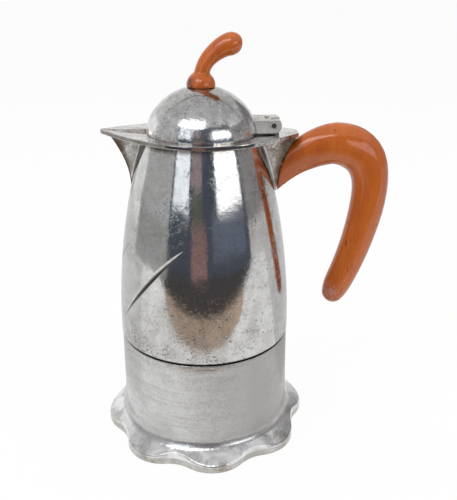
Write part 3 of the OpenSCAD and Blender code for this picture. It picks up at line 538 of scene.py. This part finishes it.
def woodPaint(name, grain, flecks, spot):
    # the spot is one worn place: its centre in metres, radius, strength and colour
    board = Board(bpy.data.materials.new(name))
    where = board.place()
    along = board.mapped(where, grain)
    streak = board.noise(along, 150, 5, 0.65, 0.5)
    slow = board.noise(where, 22, 3, 0.5)
    fleck = board.ramp(board.cells(along, 420), 0.10, 0.22, 1, 0) \
        * board.ramp(board.noise(where, 80, 3), 0.50, 0.62)
    dash = board.ramp(board.cells(board.mapped(along, shift=(0.4, 0.1, 0.3)), 640), 0.12, 0.26, 1, 0) \
        * board.ramp(board.noise(where, 130, 3), 0.42, 0.54)
    colour = board.blend(board.ramp(streak, 0.3, 0.7), wood["light"], wood["mid"])
    colour = board.blend(board.ramp(slow, 0.52, 0.78) * 0.4, colour, wood["deep"])
    colour = board.blend(dash * 0.45, colour, wood["deep"])
    colour = board.blend(fleck * flecks, colour, wood["fleck"])
    centre, radius, amount, shade = spot
    gone = board.node("ShaderNodeVectorMath", {"operation": "DISTANCE"}, [where, centre], out="Value")
    worn = board.ramp(gone + (board.noise(where, 160, 4) - 0.5) * 0.012, radius * 0.5, radius, 1, 0) \
        * board.ramp(board.noise(where, 620, 3, 0.6), 0.38, 0.56) * amount
    colour = board.blend(worn, colour, wood[shade])
    rough = (0.10 + streak * 0.12 + worn * 0.3).clamp()
    normal = board.bump(streak, 0.03, 0.0002)
    normal = board.bump(fleck * flecks, 0.12, 0.0001, normal)
    return board.finish(colour=colour, rough=rough, metal=0.0, normal=normal, ior=1.44, coat=0.3,
                        coatRough=0.05)


paints = {
    "boiler": metalPaint("BoilerMetal", tone=0.93, rough=0.24, haze=0.14, pits=0.6, scratch=0.8, patina=0.32,
                         local=boilerWearShadeAndLight, level=True, grime=(5, 1, 0.4), lines=0.85, wave=0.35),
    "barrel": metalPaint("BarrelMetal", tone=1.0, rough=0.04, haze=0.12, pits=1.0, scratch=0.16, patina=0.6,
                         local=barrelWearShadeAndReflection, grime=(150, 156, 0.6)),
    "lid": metalPaint("LidMetal", tone=0.95, rough=0.07, haze=0.16, pits=1.3, scratch=0.2, patina=1.0,
                      local=lidWearShadeAndLight, blotch=140, wave=0.12),
    "column": plainMetal("ColumnMetal", (0.66, 0.66, 0.65), 0.42),
    "funnel": plainMetal("FunnelMetal", (0.70, 0.70, 0.69), 0.38),
    "filter": plainMetal("FilterMetal", (0.68, 0.68, 0.67), 0.40),
    "brass": plainMetal("ValveBrass", (0.72, 0.52, 0.24), 0.28, 0.62),
    "insert": plainMetal("InsertBrass", (0.74, 0.56, 0.28), 0.30),
    "steel": plainMetal("ScrewSteel", (0.60, 0.60, 0.61), 0.30),
    "spring": plainMetal("SpringSteel", (0.58, 0.58, 0.59), 0.26),
    "pin": plainMetal("PinSteel", (0.16, 0.15, 0.145), 0.45),
    "rubber": dullPaint("GasketRubber", (0.70, 0.66, 0.57), 0.55),
    "fibre": dullPaint("WasherFibre", (0.36, 0.11, 0.065), 0.7),
    "handleWood": woodPaint("HandleWood", grain=(1, 1, 0.16), flecks=0.85,
                            spot=((0.0618, -0.007, 0.0735), 0.008, 0.6, "bare")),
    "knobWood": woodPaint("KnobWood", grain=(1, 1, 0.25), flecks=0.15,
                          spot=((-0.0062, -0.0035, 0.1788), 0.0048, 0.9, "worn")),
}
nodePaints = {
    "boiler": "boiler", "collector": "barrel", "lid": "lid", "knob": "knobWood", "handle": "handleWood",
    "valve_body": "brass", "valve_cap": "brass", "valve_poppet": "brass", "valve_washer": "fibre",
    "valve_spring": "spring", "funnel": "funnel", "funnel_sieve": "funnel", "gasket": "rubber",
    "filter_plate": "filter", "riser_column": "column", "hinge_pin": "pin",
    "knob_insert": "insert", "knob_screw": "steel", "knob_washer": "steel",
    "handle_insert": "insert", "handle_screw": "steel", "handle_washer": "steel",
}
for nodeName, paintName in nodePaints.items():
    nodes[nodeName].data.materials.clear()
    nodes[nodeName].data.materials.append(paints[paintName])
print("finishes made:", len(paints))


boilerSize = {
    "footRadius": 43.9, "topRadius": 43.2, "height": 55, "shoulderRound": 0.5, "neckRadius": 36.9,
    "neckTop": 66, "neckBore": 34.5, "innerRadius": 39.8, "floor": 4, "cornerRadius": 6, "ceiling": 51,
    "coveRadius": 6, "coveX": 49.9, "coveZ": 13.064, "lobes": 8, "lobeTip": 53.6, "lobeRound": 19,
    "valley": 48.5, "phase": 5, "edgeHeight": 4, "slope": 30, "sole": 46, "soleRound": 0.6,
    "edgeRound": 0.9, "bossRadius": 8.5, "bossIn": 42, "bossOut": 44.82, "bossHeight": 30,
    "threadFrom": 55.6, "columns": 256,
}


def lobeRadius(degrees):
    # distance from the axis to the scalloped outline, at an angle from a lobe's middle
    s = boilerSize
    centre = s["lobeTip"] - s["lobeRound"]
    half = math.radians(180 / s["lobes"])
    a = math.radians(abs(degrees))
    valleyRound = (centre ** 2 + s["valley"] ** 2 - 2 * centre * s["valley"] * math.cos(half)
                   - s["lobeRound"] ** 2) / (2 * (s["lobeRound"] + centre * math.cos(half) - s["valley"]))
    valleyCentre = s["valley"] + valleyRound
    way = (valleyCentre * math.cos(half) - centre, valleyCentre * math.sin(half))
    joint = math.hypot(*way)
    meet = (centre + way[0] / joint * s["lobeRound"], way[1] / joint * s["lobeRound"])
    if a <= math.atan2(meet[1], meet[0]):
        return centre * math.cos(a) + math.sqrt(s["lobeRound"] ** 2 - (centre * math.sin(a)) ** 2)
    off = half - a
    return valleyCentre * math.cos(off) - math.sqrt(valleyRound ** 2 - (valleyCentre * math.sin(off)) ** 2)


def makeBoiler():
    s = boilerSize
    tan = math.tan(math.radians(s["slope"]))
    tip, edge, soft = s["lobeTip"], s["edgeHeight"], s["edgeRound"]
    coveEnd = 270 - s["slope"]
    cove = arc(s["coveX"], s["coveZ"], s["coveRadius"], coveEnd, 180, 10)
    slopeX = [tip - (tip - cove[0][0]) * k / 5 for k in range(1, 5)]
    sole = (s["sole"], 0)
    outer = [(0, 0), (20, 0), (40, 0), sole] + softCorner(sole, (tip, 0), (tip, edge), s["soleRound"], 3)
    outer += softCorner((tip, 0), (tip, edge), cove[0], soft, 4)
    outer += [(x, edge + (tip - x) * tan) for x in slopeX] + cove
    for share in [k / 8 for k in range(1, 8)]:
        outer.append((s["footRadius"] + (s["topRadius"] - s["footRadius"]) * share,
                      s["coveZ"] + (s["height"] - s["coveZ"]) * share))
    shoulder = (s["topRadius"], s["height"])
    outer += softCorner(cove[-1], shoulder, (s["neckRadius"], s["height"]), s["shoulderRound"], 3)
    outer += [(s["neckRadius"], s["height"]), (s["neckRadius"], s["neckTop"]), (s["neckBore"], s["neckTop"]),
              (s["neckBore"], s["ceiling"]), (s["innerRadius"], s["ceiling"])]
    corner = arc(s["innerRadius"] - s["cornerRadius"], s["floor"] + s["cornerRadius"],
                 s["cornerRadius"], 0, -90, 6)
    outer += corner + [(0, s["floor"])]
    boiler = turnPiece("boilerShell", outer, s["columns"])
    # the round flange becomes eight lobes: each spoke's outer points are drawn in together
    half = 180 / s["lobes"]
    rootX = cove[0][0]
    spokes = {}
    for vert in boiler.data.vertices:
        radius = math.hypot(vert.co.x, vert.co.y) / mm
        if radius > rootX + 0.01 and vert.co.z < (s["coveZ"] - 1) * mm:  # outside the cove's foot
            angle = math.degrees(math.atan2(vert.co.y, vert.co.x))
            offset = (angle + half) % (2 * half) - half
            top = vert.co.z > (s["soleRound"] + edge - soft) / 2 * mm
            spokes.setdefault((round(abs(offset), 2), round(radius, 3), top), []).append(vert.index)
    editAll(boiler)
    for (offset, radius, top), members in spokes.items():
        share = (lobeRadius(offset) - rootX) / (tip - rootX)
        target = rootX + (radius - rootX) * share
        bpy.ops.mesh.select_all(action="DESELECT")
        editOff()
        for index in members:
            boiler.data.vertices[index].select = True
        bpy.ops.object.mode_set(mode="EDIT")
        bpy.ops.transform.resize(value=(target / radius, target / radius, 1), center_override=(0, 0, 0))
        if top:
            bpy.ops.transform.translate(value=(0, 0, (radius - target) * tan * mm))
    editOff()
    boiler.rotation_euler.z = math.radians(s["phase"])
    setOrigin(boiler)
    # boss behind the safety valve
    middle = (0, (s["bossOut"] + s["bossIn"]) / 2, s["bossHeight"])
    combined(boiler, cylinder(96, s["bossRadius"], s["bossOut"] - s["bossIn"], middle, alongY), "UNION")
    # the threaded neck comes from the frame, above the shoulder
    thread = cadCopy("boiler", "neckThread")
    editAll(thread)
    bpy.ops.mesh.bisect(plane_co=(0, 0, s["threadFrom"] * mm), plane_no=(0, 0, 1), use_fill=True,
                        clear_inner=True)
    editOff()
    combined(boiler, thread, "UNION")
    return boiler


boiler = makeBoiler()
dressed(boiler, "boiler", "base", paints["boiler"])
smoothed(boiler, 40)
print("boiler made:", len(boiler.data.polygons), "faces")


slashSize = {
    "count": 3, "step": 45, "turn": 4, "rise": 36, "tilt": 49, "depth": 1.3, "length": 66, "width": 3.0,
    "reach": 8, "sweep": 35,
}
spoutSize = {
    "depth": 29.4, "back": 3.4, "bend": 1.8, "half": 10, "rootTip": 0.7, "nose": 0.6, "hollow": 1.696,
    "levels": 18, "channelDepth": 9, "channelHalf": 6.6, "tipDepth": 0.8, "tipHalf": 0.7, "runEnd": 1.5,
    "runDepth": 1.12, "runHalf": 1.585,
}
bracketSize = {
    "depth": 28.5, "half": 10, "rootTip": 0.7, "endHalf": 3.8, "swell": 0.7, "nose": 0.6, "hollow": 1.96,
    "levels": 16, "jointX": 74.2, "jointRadius": 38, "jointDrop": 25.8, "screwDrop": 12,
    "bossRadius": 5.2, "bossThick": 1.6, "bossLength": 3.6,
}
hingeSize = {
    "x": 33.4, "rise": 4.3, "knuckle": 3, "knuckleHalf": 2.5, "knuckleEdge": 0.25, "knuckleEnd": 0.94,
    "sink": 0.8, "ear": 3.7, "earTop": 2.7, "earHalf": 7.3, "gapHalf": 2.8, "web": 29.7, "rootX": 20.1,
    "earTurn": (-75, 46.8), "edge": 0.45, "pinHole": 1.25,
}


def barrelRadius(z, inset=0):
    s = collectorSize
    return s["footRadius"] - s["curve"] + math.sqrt((s["curve"] - inset) ** 2 - (z - s["foot"]) ** 2)


def rimRise(x):
    s = rimSize
    return math.sqrt(s["sweep"] ** 2 - s["lowX"] ** 2) - math.sqrt(s["sweep"] ** 2 - (x - s["lowX"]) ** 2)


def rimHalf(x):
    s = rimSize
    end, reach = (s["tipHalf"], s["tip"]) if x < 0 else (s["tabHalf"], s["tab"])
    return s["half"] - (s["half"] - end) * min(abs(x) / reach, 1) ** s["fullness"]


def makeBarrel():
    s = collectorSize
    steps, innerSteps = 44, 30
    rise = (s["top"] - s["foot"]) / steps
    outer = [(barrelRadius(s["foot"] + rise * k), s["foot"] + rise * k) for k in range(1, steps + 1)]
    outer = softCorner((s["skirt"], s["foot"]), (s["footRadius"], s["foot"]), outer[0],
                       s["skirtRound"], 3) + outer
    heights = [s["ledge"] - (s["ledge"] - s["chamberFloor"]) * k / innerSteps for k in range(innerSteps + 1)]
    bore = s["seat"] - 0.7  # opened up to the seat later
    ring = outer + [(bore, s["top"]), (bore, s["ledge"])] + [(barrelRadius(z, s["wall"]), z) for z in heights]
    ring += [(s["spigot"], s["chamberFloor"]), (s["spigot"], s["plenumTop"]),
             (s["plenumRadius"], s["plenumTop"]), (s["plenumRadius"], s["gasketTop"]),
             (s["gasketRadius"], s["gasketTop"]), (s["gasketRadius"], s["skirtTop"]),
             (s["skirt"], s["skirtTop"]), (s["skirt"], s["foot"])]
    return turnPiece("collectorShell", ring + ring[:1], s["columns"])


def makeSlash(spin):
    # wedge ring that leaves one slanted cut in the barrel's wall
    s = slashSize
    height = collectorSize["foot"] + s["rise"]
    wallRadius = barrelRadius(height)
    tilt = math.radians(s["tilt"])
    # the cutter's ring is tighter than the wall there, so the cut runs out at both ends
    bend = math.cos(tilt) ** 2 / wallRadius + math.sin(tilt) ** 2 / collectorSize["curve"]
    ringRadius = 1 / (bend - 8 * s["depth"] / s["length"] ** 2)
    flare = s["reach"] * s["width"] / 2 / s["depth"]
    cutter = newPiece("slashCutter")
    outX = (ringRadius + s["reach"]) * mm
    drawLine([(ringRadius * mm, 0, 0), (outX, 0, -flare * mm), (outX, 0, flare * mm),
              (ringRadius * mm, 0, 0)])
    mergeAll()
    bpy.ops.mesh.spin(steps=2 * s["sweep"], angle=math.radians(2 * s["sweep"]), center=(0, 0, 0),
                      axis=(0, 0, 1))
    fillOpenEnds()
    middle = sum(math.atan2(v.co.y, v.co.x) for v in cutter.data.vertices) / len(cutter.data.vertices)
    cutter.matrix_world = (
        Matrix.Rotation(math.radians(spin), 4, "Z")
        @ Matrix.Translation((wallRadius * mm, 0, height * mm))
        @ Matrix.Rotation(-math.asin(s["rise"] / collectorSize["curve"]), 4, "Y")
        @ Matrix.Rotation(tilt, 4, "X")
        @ Matrix.Translation((-(s["depth"] + ringRadius) * mm, 0, 0))
        @ Matrix.Rotation(-middle, 4, "Z")
    )
    setOrigin(cutter)
    return cutter


def makeRim():
    s = rimSize
    loops = []
    for k in range(s["stations"] + 1):
        # stations crowd toward the two ends, where the outline turns
        share = 0.5 - 0.5 * math.cos(math.pi * k / s["stations"])
        x = s["tab"] - (s["tab"] + s["tip"]) * (s["crowd"] * share + (1 - s["crowd"]) * k / s["stations"])
        half, top = rimHalf(x), s["height"] + rimRise(x)
        low, edge = top - s["thick"], s["edge"]
        side = [(half - edge, top), (half - edge * 0.3, top - edge * 0.3), (half, top - edge),
                (half, low + edge), (half - edge, low)]
        loops.append([(x, y, z) for y, z in side] + [(x, -y, z) for y, z in reversed(side)])
    return lofted("rimPlate", loops)


def wedgeLoop(z, rootHalf, noseX, noseHalf, hollow, side):
    # level ring of a hollow-sided wedge, from inside the barrel's wall out to its nose
    rootX = math.sqrt(barrelRadius(z) ** 2 - rootHalf ** 2) - collectorSize["wall"] / 2
    points = []
    for t in [k / 6 for k in range(7)]:
        points.append((rootX + (noseX - rootX) * t, noseHalf + (rootHalf - noseHalf) * (1 - t) ** hollow))
    outline = points + [(x, -y) for x, y in reversed(points)]
    return [(side * x, y * side, z) for x, y in outline]


def makeSpout():
    s = spoutSize
    height = s["depth"] + rimRise(s["back"] - rimSize["tip"]) - rimSize["root"]
    reach = rimSize["tip"] - s["back"] + s["nose"] - barrelRadius(rimSize["height"])
    loops = []
    for t in [i / s["levels"] for i in range(s["levels"] + 1)]:
        z = rimSize["height"] - s["depth"] + height * t
        nose = barrelRadius(z) - s["nose"] + reach * t ** s["bend"]
        rootHalf = s["rootTip"] + (s["half"] - s["rootTip"]) * t
        noseHalf = s["nose"] + (rimSize["tipHalf"] - s["nose"]) * t
        loops.append(wedgeLoop(z, rootHalf, nose, noseHalf, s["hollow"], -1))
    return lofted("spoutWedge", loops)


def makeBracket():
    # its nose follows the round end of the handle
    s = bracketSize
    height = s["depth"] + rimRise(rimSize["tab"]) - rimSize["root"]
    loops = []
    for t in [i / s["levels"] for i in range(s["levels"] + 1)]:
        z = rimSize["height"] - s["depth"] + height * t
        drop = z - (rimSize["height"] - s["jointDrop"])
        nose = s["jointX"] - math.sqrt(s["jointRadius"] ** 2 - drop ** 2)
        rootHalf = s["rootTip"] + (s["half"] - s["rootTip"]) * t
        noseHalf = s["nose"] + (s["endHalf"] - s["nose"]) * t ** s["swell"]
        loops.append(wedgeLoop(z, rootHalf, nose, noseHalf, s["hollow"], 1))
    return lofted("bracketWedge", loops)


def makeKnuckle():
    s = hingeSize
    r, z, half = s["knuckle"], rimSize["height"] + s["rise"], s["knuckleHalf"]
    foot = rimSize["height"] - s["sink"]
    outline = [(s["x"] + r, foot), (s["x"] + r, z + r)] + arc(s["x"], z, r, 90, 180, 12)
    outline.append((s["x"] - r, foot))
    edge, end = s["knuckleEdge"], s["knuckleEnd"]
    loops = []
    for y, share in ((-half, end), (-half + edge, 1), (half - edge, 1), (half, end)):
        loop = []
        for px, pz in outline:
            loop.append((s["x"] + (px - s["x"]) * share, y, z + (pz - z) * share if pz > foot + 0.1 else pz))
        loops.append(loop)
    return lofted("knuckle", loops)


def makeChannel():
    # V-shaped groove from the mouth to the tip, steep at first and then shallow
    s = spoutSize
    top = rimSize["height"] + 5

    def loop(x, floor, half, depth):
        spread = half * (top - floor) / depth
        return [(-x, 0, floor), (-x, -spread, top), (-x, spread, top)]

    def rimTop(x):
        return rimSize["height"] + rimRise(-x)

    tip = rimSize["tip"]
    run = tip - s["back"] - s["runEnd"]
    return lofted("channelCutter", [
        loop(collectorSize["seat"] - 2, rimSize["height"] - s["channelDepth"], s["channelHalf"],
             s["channelDepth"]),
        loop(run, rimTop(run) - s["runDepth"], s["runHalf"], s["runDepth"]),
        loop(tip + 1, rimTop(tip) - s["tipDepth"], s["tipHalf"], s["tipDepth"]),
    ])


def makeCollector():
    s = collectorSize
    shell = makeBarrel()
    for tool in (makeRim(), makeSpout(), makeBracket(), makeKnuckle()):
        combined(shell, tool, "UNION")
    # boss inside the wall, under the screw's washer
    b = bracketSize
    screwZ = rimSize["height"] - b["screwDrop"]
    face = barrelRadius(screwZ) - s["wall"] - b["bossThick"]
    middle = (face + b["bossLength"] / 2, 0, screwZ)
    combined(shell, cylinder(64, b["bossRadius"], b["bossLength"], middle, alongX), "UNION")
    # the mouth, a little wider at the top so that the lid drops in
    low, high = 150, 170
    mouth = [(0, low), (s["seat"], low), (s["seat"], s["rimBottom"]), (s["rimHole"], s["rimBottom"]),
             (s["rimHole"], s["flareFrom"]), (s["rimHole"] + 0.25, high), (0, high)]
    combined(shell, turnPiece("mouthCutter", mouth, s["columns"]), "DIFFERENCE")
    combined(shell, makeChannel(), "DIFFERENCE")
    for i in range(slashSize["count"]):
        spin = 180 + slashSize["turn"] + (i - (slashSize["count"] - 1) / 2) * slashSize["step"]
        combined(shell, makeSlash(spin), "DIFFERENCE")
    return shell


collector = makeCollector()
dressed(collector, "collector", "collector", paints["barrel"])
mended(collector)
smoothed(collector, 14)
print("collector made:", len(collector.data.polygons), "faces")


def crownArc():
    # radius and centre height of the dome's upper arc, which meets its shoulder arc smoothly
    s = lidSize
    run = s["radius"] - s["shoulder"]
    radius = (run ** 2 + s["height"] ** 2 - s["shoulder"] ** 2) / (2 * (s["height"] - s["shoulder"]))
    return radius, s["height"] - radius


def domeCurve(inset):
    s = lidSize
    crown, crownZ = crownArc()
    turn = math.degrees(math.atan2(-crownZ, s["radius"] - s["shoulder"]))
    shoulder = arc(s["radius"] - s["shoulder"], 0, s["shoulder"] - inset, 0, turn, 14)
    return shoulder + arc(0, crownZ, crown - inset, turn, 90, 16)[1:]


def turnLidPart(name, profile):
    return turnPiece(name, [(r, rimSize["height"] + z) for r, z in profile], lidSize["columns"])


def makeEars():
    h = hingeSize
    x, z, half, edge = h["x"], rimSize["height"] + h["rise"], h["earHalf"], h["edge"]
    outline = [(h["rootX"], z - h["ear"]), (x, z - h["ear"])] + arc(x, z, h["ear"], *h["earTurn"], 20)
    outline.append((h["rootX"], z + h["earTop"]))
    loops = []
    for y, shrink in ((-half, edge), (-half + edge, 0), (half - edge, 0), (half, edge)):
        share = 1 - shrink / h["ear"]
        loops.append([(x + (px - x) * share, y, z + (pz - z) * share) for px, pz in outline])
    return lofted("ears", loops)


def makeLid():
    s, h = lidSize, hingeSize
    base, drop = rimSize["height"], s["drop"]
    flatZ = s["height"] - s["flat"]
    crown, crownZ = crownArc()
    flatEdge = math.sqrt(crown ** 2 - (flatZ - crownZ) ** 2)
    skirt = [(0, -drop)] + softCorner((0, -drop), (s["radius"], -drop), (s["radius"], 0), s["skirtRound"], 3)
    outer = [(r, z) for r, z in skirt + domeCurve(0) if z < flatZ]
    # softens the flat's edge
    outer += [(flatEdge + 0.12, flatZ - 0.05), (flatEdge - 0.25, flatZ), (0, flatZ)]
    lid = turnLidPart("lidShell", outer)
    combined(lid, makeEars(), "UNION")
    inner = [(0, -drop - 1), (s["radius"] - s["wall"], -drop - 1)] + domeCurve(s["wall"])[:-1]
    inner.append((0, s["height"] - s["wall"]))
    combined(lid, turnLidPart("lidInner", inner), "DIFFERENCE")
    low, high = flatZ - s["padThick"], flatZ - s["padDrop"]
    hole, rim = s["padHole"], s["padRadius"]
    pad = [(hole, low), (rim, low), (rim, high), (hole, high), (hole, low)]
    combined(lid, turnLidPart("knobPad", pad), "UNION")
    # the gap between the ears, for the knuckle
    length, height = 20, 16
    middle = ((h["web"] + length / 2) * mm, 0, (base + height / 2) * mm)
    bpy.ops.mesh.primitive_cube_add(size=mm, location=middle)
    gap = bpy.context.active_object
    gap.scale = (length, 2 * h["gapHalf"], height)
    setOrigin(gap)
    combined(lid, gap, "DIFFERENCE")
    combined(lid, cylinder(48, h["pinHole"], 30, (h["x"], 0, base + h["rise"]), alongY), "DIFFERENCE")
    return lid


lid = makeLid()
dressed(lid, "lid", "lid", paints["lid"])
mended(lid)
smoothed(lid, 22)
print("lid made:", len(lid.data.polygons), "faces")


# remeshed in small voxels, in mm, and smoothed in a number of passes
woodSize = {
    "handle": {"name": "handleGrip", "body": "collector", "paint": "handleWood", "voxel": 0.75, "passes": 6},
    "knob": {"name": "knobGrip", "body": "lid", "paint": "knobWood", "voxel": 0.4, "passes": 14},
}


def makeWood(node):
    s = woodSize[node]
    piece = cadCopy(node, s["name"])
    applied(piece, "REMESH", mode="VOXEL", voxel_size=s["voxel"] * mm)
    applied(piece, "SMOOTH", factor=0.5, iterations=s["passes"])
    takeUp(piece)
    bpy.ops.object.shade_smooth()
    dressed(piece, node, s["body"], paints[s["paint"]])
    print(s["name"], "made:", len(piece.data.polygons), "faces")


for woodNode in woodSize:
    makeWood(woodNode)


def makeSpring():
    # the coil, copied from the frame with a mesh of its own; the real coil shortens toward the cap as the
    # poppet lifts
    coil = cadCopy("valve_spring", "valveCoil")
    dressed(coil, "valve_spring", "base", paints["spring"])
    smoothed(coil, 40)
    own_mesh(coil)
    print("spring made:", len(coil.data.polygons), "faces")


makeSpring()


# curved cards: azimuths in degrees from the camera's side, heights, radius, colour and strength
# flat cards: centre, size, colour and outline
# lamps: place, size and power; lengths are in metres here
studio = {
    "camera": (0, -0.29216, 0.21796), "turn": (67.46, 0, -2.48), "lens": 44.64, "sensor": 36,
    "floor": (0.86, 0.86, 0.85), "floorSize": 40, "floorGlow": 0.95, "skyLight": 0.4,
    "curvedCards": {
        "darkCard": ((-50, 66), (0.002, 0.62), 0.60, (0.085, 0.098, 0.125), 1.0),
        "warmCard": ((-16, 4), (0.0, 0.15), 0.57, (0.31, 0.19, 0.18), 1.0),
        "roseCard": ((-18, -1), (0.255, 0.40), 0.575, (0.36, 0.28, 0.30), 1.0),
        "greenCard": ((-15, -1), (0.15, 0.255), 0.575, (0.125, 0.145, 0.12), 1.0),
        "blueCard": ((12, 60), (0.05, 0.185), 0.575, (0.15, 0.175, 0.23), 1.0),
        "windowLeft": ((-46, -21), (0.185, 0.62), 0.58, (0.9, 0.95, 1.0), 1.4),
        "windowRight": ((21, 61), (0.185, 0.42), 0.58, (1, 1, 1), 2.2),
        "skylight": ((-55, 4), (0.60, 0.98), 0.58, (1, 1, 1), 4.5),
        "leftCard": ((-106, -49), (0.002, 0.12), 0.49, (0.43, 0.43, 0.43), 1.0),
        "leftHigh": ((-106, -49), (0.12, 0.5), 0.49, (0.54, 0.54, 0.54), 1.0),
        "rightCard": ((66, 150), (0.002, 0.10), 0.62, (0.66, 0.65, 0.64), 1.0),
        "rightHigh": ((66, 150), (0.10, 0.5), 0.62, (0.33, 0.32, 0.32), 1.0),
    },
    "flatCards": {
        "darkMat": ((0, -0.59, 0.003), (1.3, 0.68), (0.075, 0.07, 0.07), "square"),
        "tanMat": ((0, -0.44, 0.002), (0.80, 0.58), (0.56, 0.43, 0.33), "round"),
        "leftMat": ((-0.40, 0.29, 0.001), (0.66, 0.62), (0.80, 0.80, 0.80), "square"),
        "rightMat": ((0.40, 0.29, 0.001), (0.66, 0.56), (0.72, 0.72, 0.72), "square"),
        "ceilingCard": ((0, -0.62, 1.4), (4, 2.4), (0.70, 0.70, 0.71), "square"),
        "ceilingEdge": ((0, 0.62, 1.4), (4, 0.08), (0.12, 0.12, 0.12), "square"),
        "backCard": ((0, 2.16, 1.4), (6, 3), (0.80, 0.80, 0.79), "square"),
    },
    "lamps": {
        "keyLamp": ((-0.75, -0.55, 0.85), 0.6, 6.5),
        "fillLamp": ((0.85, -0.35, 0.6), 0.6, 3),
        "topLamp": ((0.0, 0.25, 1.0), 0.8, 4),
    },
    "aim": (0, 0, 0.09),
}


def shownRays(board):
    # 1 on what is seen straight, in a polish or through glass, and 0 on light that falls on things
    path = board.node("ShaderNodeLightPath").socket.node.outputs
    kinds = [Wire(board, path[kind]) for kind in ("Is Camera Ray", "Is Glossy Ray", "Is Transmission Ray")]
    return (kinds[0] + kinds[1] + kinds[2]).clamp()


def stagePaint(name, colour, glow):
    # shows and reflects plain white, and takes the object's shadow
    board = Board(bpy.data.materials.new(name))
    cloth = board.node("ShaderNodeBsdfDiffuse", {}, {"Color": (*colour, 1)})
    light = board.node("ShaderNodeEmission", {}, {"Color": (1, 1, 1, 1), "Strength": 1.0})
    mixed = board.node("ShaderNodeMixShader", {}, [shownRays(board) * glow, cloth, light])
    board.node("ShaderNodeOutputMaterial", {}, {"Surface": mixed})
    return board.owner


def makeFloor():
    putDown()
    bpy.ops.mesh.primitive_plane_add(size=studio["floorSize"], location=(0, 0, 0))
    floor = bpy.context.active_object
    floor.name = "studioFloor"
    floor.data.materials.append(stagePaint("FloorPaper", studio["floor"], studio["floorGlow"]))


def makeCurvedCard(name, azimuths, heights, radius, colour, strength):
    card = newPiece(name)
    start = math.radians(azimuths[0] - 90)
    x, y = radius * math.cos(start), radius * math.sin(start)
    drawLine([(x, y, z) for z in heights])
    bpy.ops.mesh.select_all(action="SELECT")
    bpy.ops.mesh.spin(steps=24, angle=-math.radians(azimuths[1] - azimuths[0]), center=(0, 0, 0),
                      axis=(0, 0, 1))
    editOff()
    hideCard(card, colour, strength)


def makeFlatCard(name, centre, size, colour, outline):
    putDown()
    if outline == "round":
        bpy.ops.mesh.primitive_circle_add(vertices=64, radius=0.5, fill_type="NGON", location=centre)
    else:
        bpy.ops.mesh.primitive_plane_add(size=1, location=centre)
    card = bpy.context.active_object
    card.name = name
    card.scale = (*size, 1)
    setOrigin(card)
    hideCard(card, colour, 1.0)


def hideCard(card, colour, strength):
    # only reflections show a card
    board = Board(bpy.data.materials.new(card.name + "Paint"))
    light = board.node("ShaderNodeEmission", {}, {"Color": (*colour, 1), "Strength": strength})
    board.node("ShaderNodeOutputMaterial", {}, {"Surface": light})
    card.data.materials.append(board.owner)
    card.visible_camera = False
    card.visible_diffuse = False
    card.visible_shadow = False
    card.visible_transmission = False


def makeLamp(name, place, size, power):
    data = bpy.data.lights.new(name, "AREA")
    data.size = size
    data.energy = power
    lamp = bpy.data.objects.new(name, data)
    bpy.context.scene.collection.objects.link(lamp)
    lamp.location = place
    lamp.rotation_euler = (Vector(studio["aim"]) - Vector(place)).to_track_quat("-Z", "Y").to_euler()
    lamp.visible_glossy = False


def makeSky():
    sky = Board(bpy.data.worlds.new("studioWorld"))
    white = (1, 1, 1, 1)
    low = sky.node("ShaderNodeBackground", {}, {"Color": white, "Strength": studio["skyLight"]})
    full = sky.node("ShaderNodeBackground", {}, {"Color": white, "Strength": 1.0})
    mixed = sky.node("ShaderNodeMixShader", {}, [shownRays(sky), low, full])
    sky.node("ShaderNodeOutputWorld", {}, {"Surface": mixed})
    bpy.context.scene.world = sky.owner


def makeCamera():
    data = bpy.data.cameras.new("camera")
    data.lens = studio["lens"]
    data.sensor_width = studio["sensor"]
    camera = bpy.data.objects.new("camera", data)
    bpy.context.scene.collection.objects.link(camera)
    camera.location = studio["camera"]
    camera.rotation_euler = [math.radians(a) for a in studio["turn"]]
    bpy.context.scene.camera = camera


makeFloor()
for cardName, card in studio["curvedCards"].items():
    makeCurvedCard(cardName, *card)
for cardName, card in studio["flatCards"].items():
    makeFlatCard(cardName, *card)
for lampName, lamp in studio["lamps"].items():
    makeLamp(lampName, *lamp)
makeSky()
makeCamera()
bpy.context.scene.view_settings.view_transform = "Standard"
print("studio made")
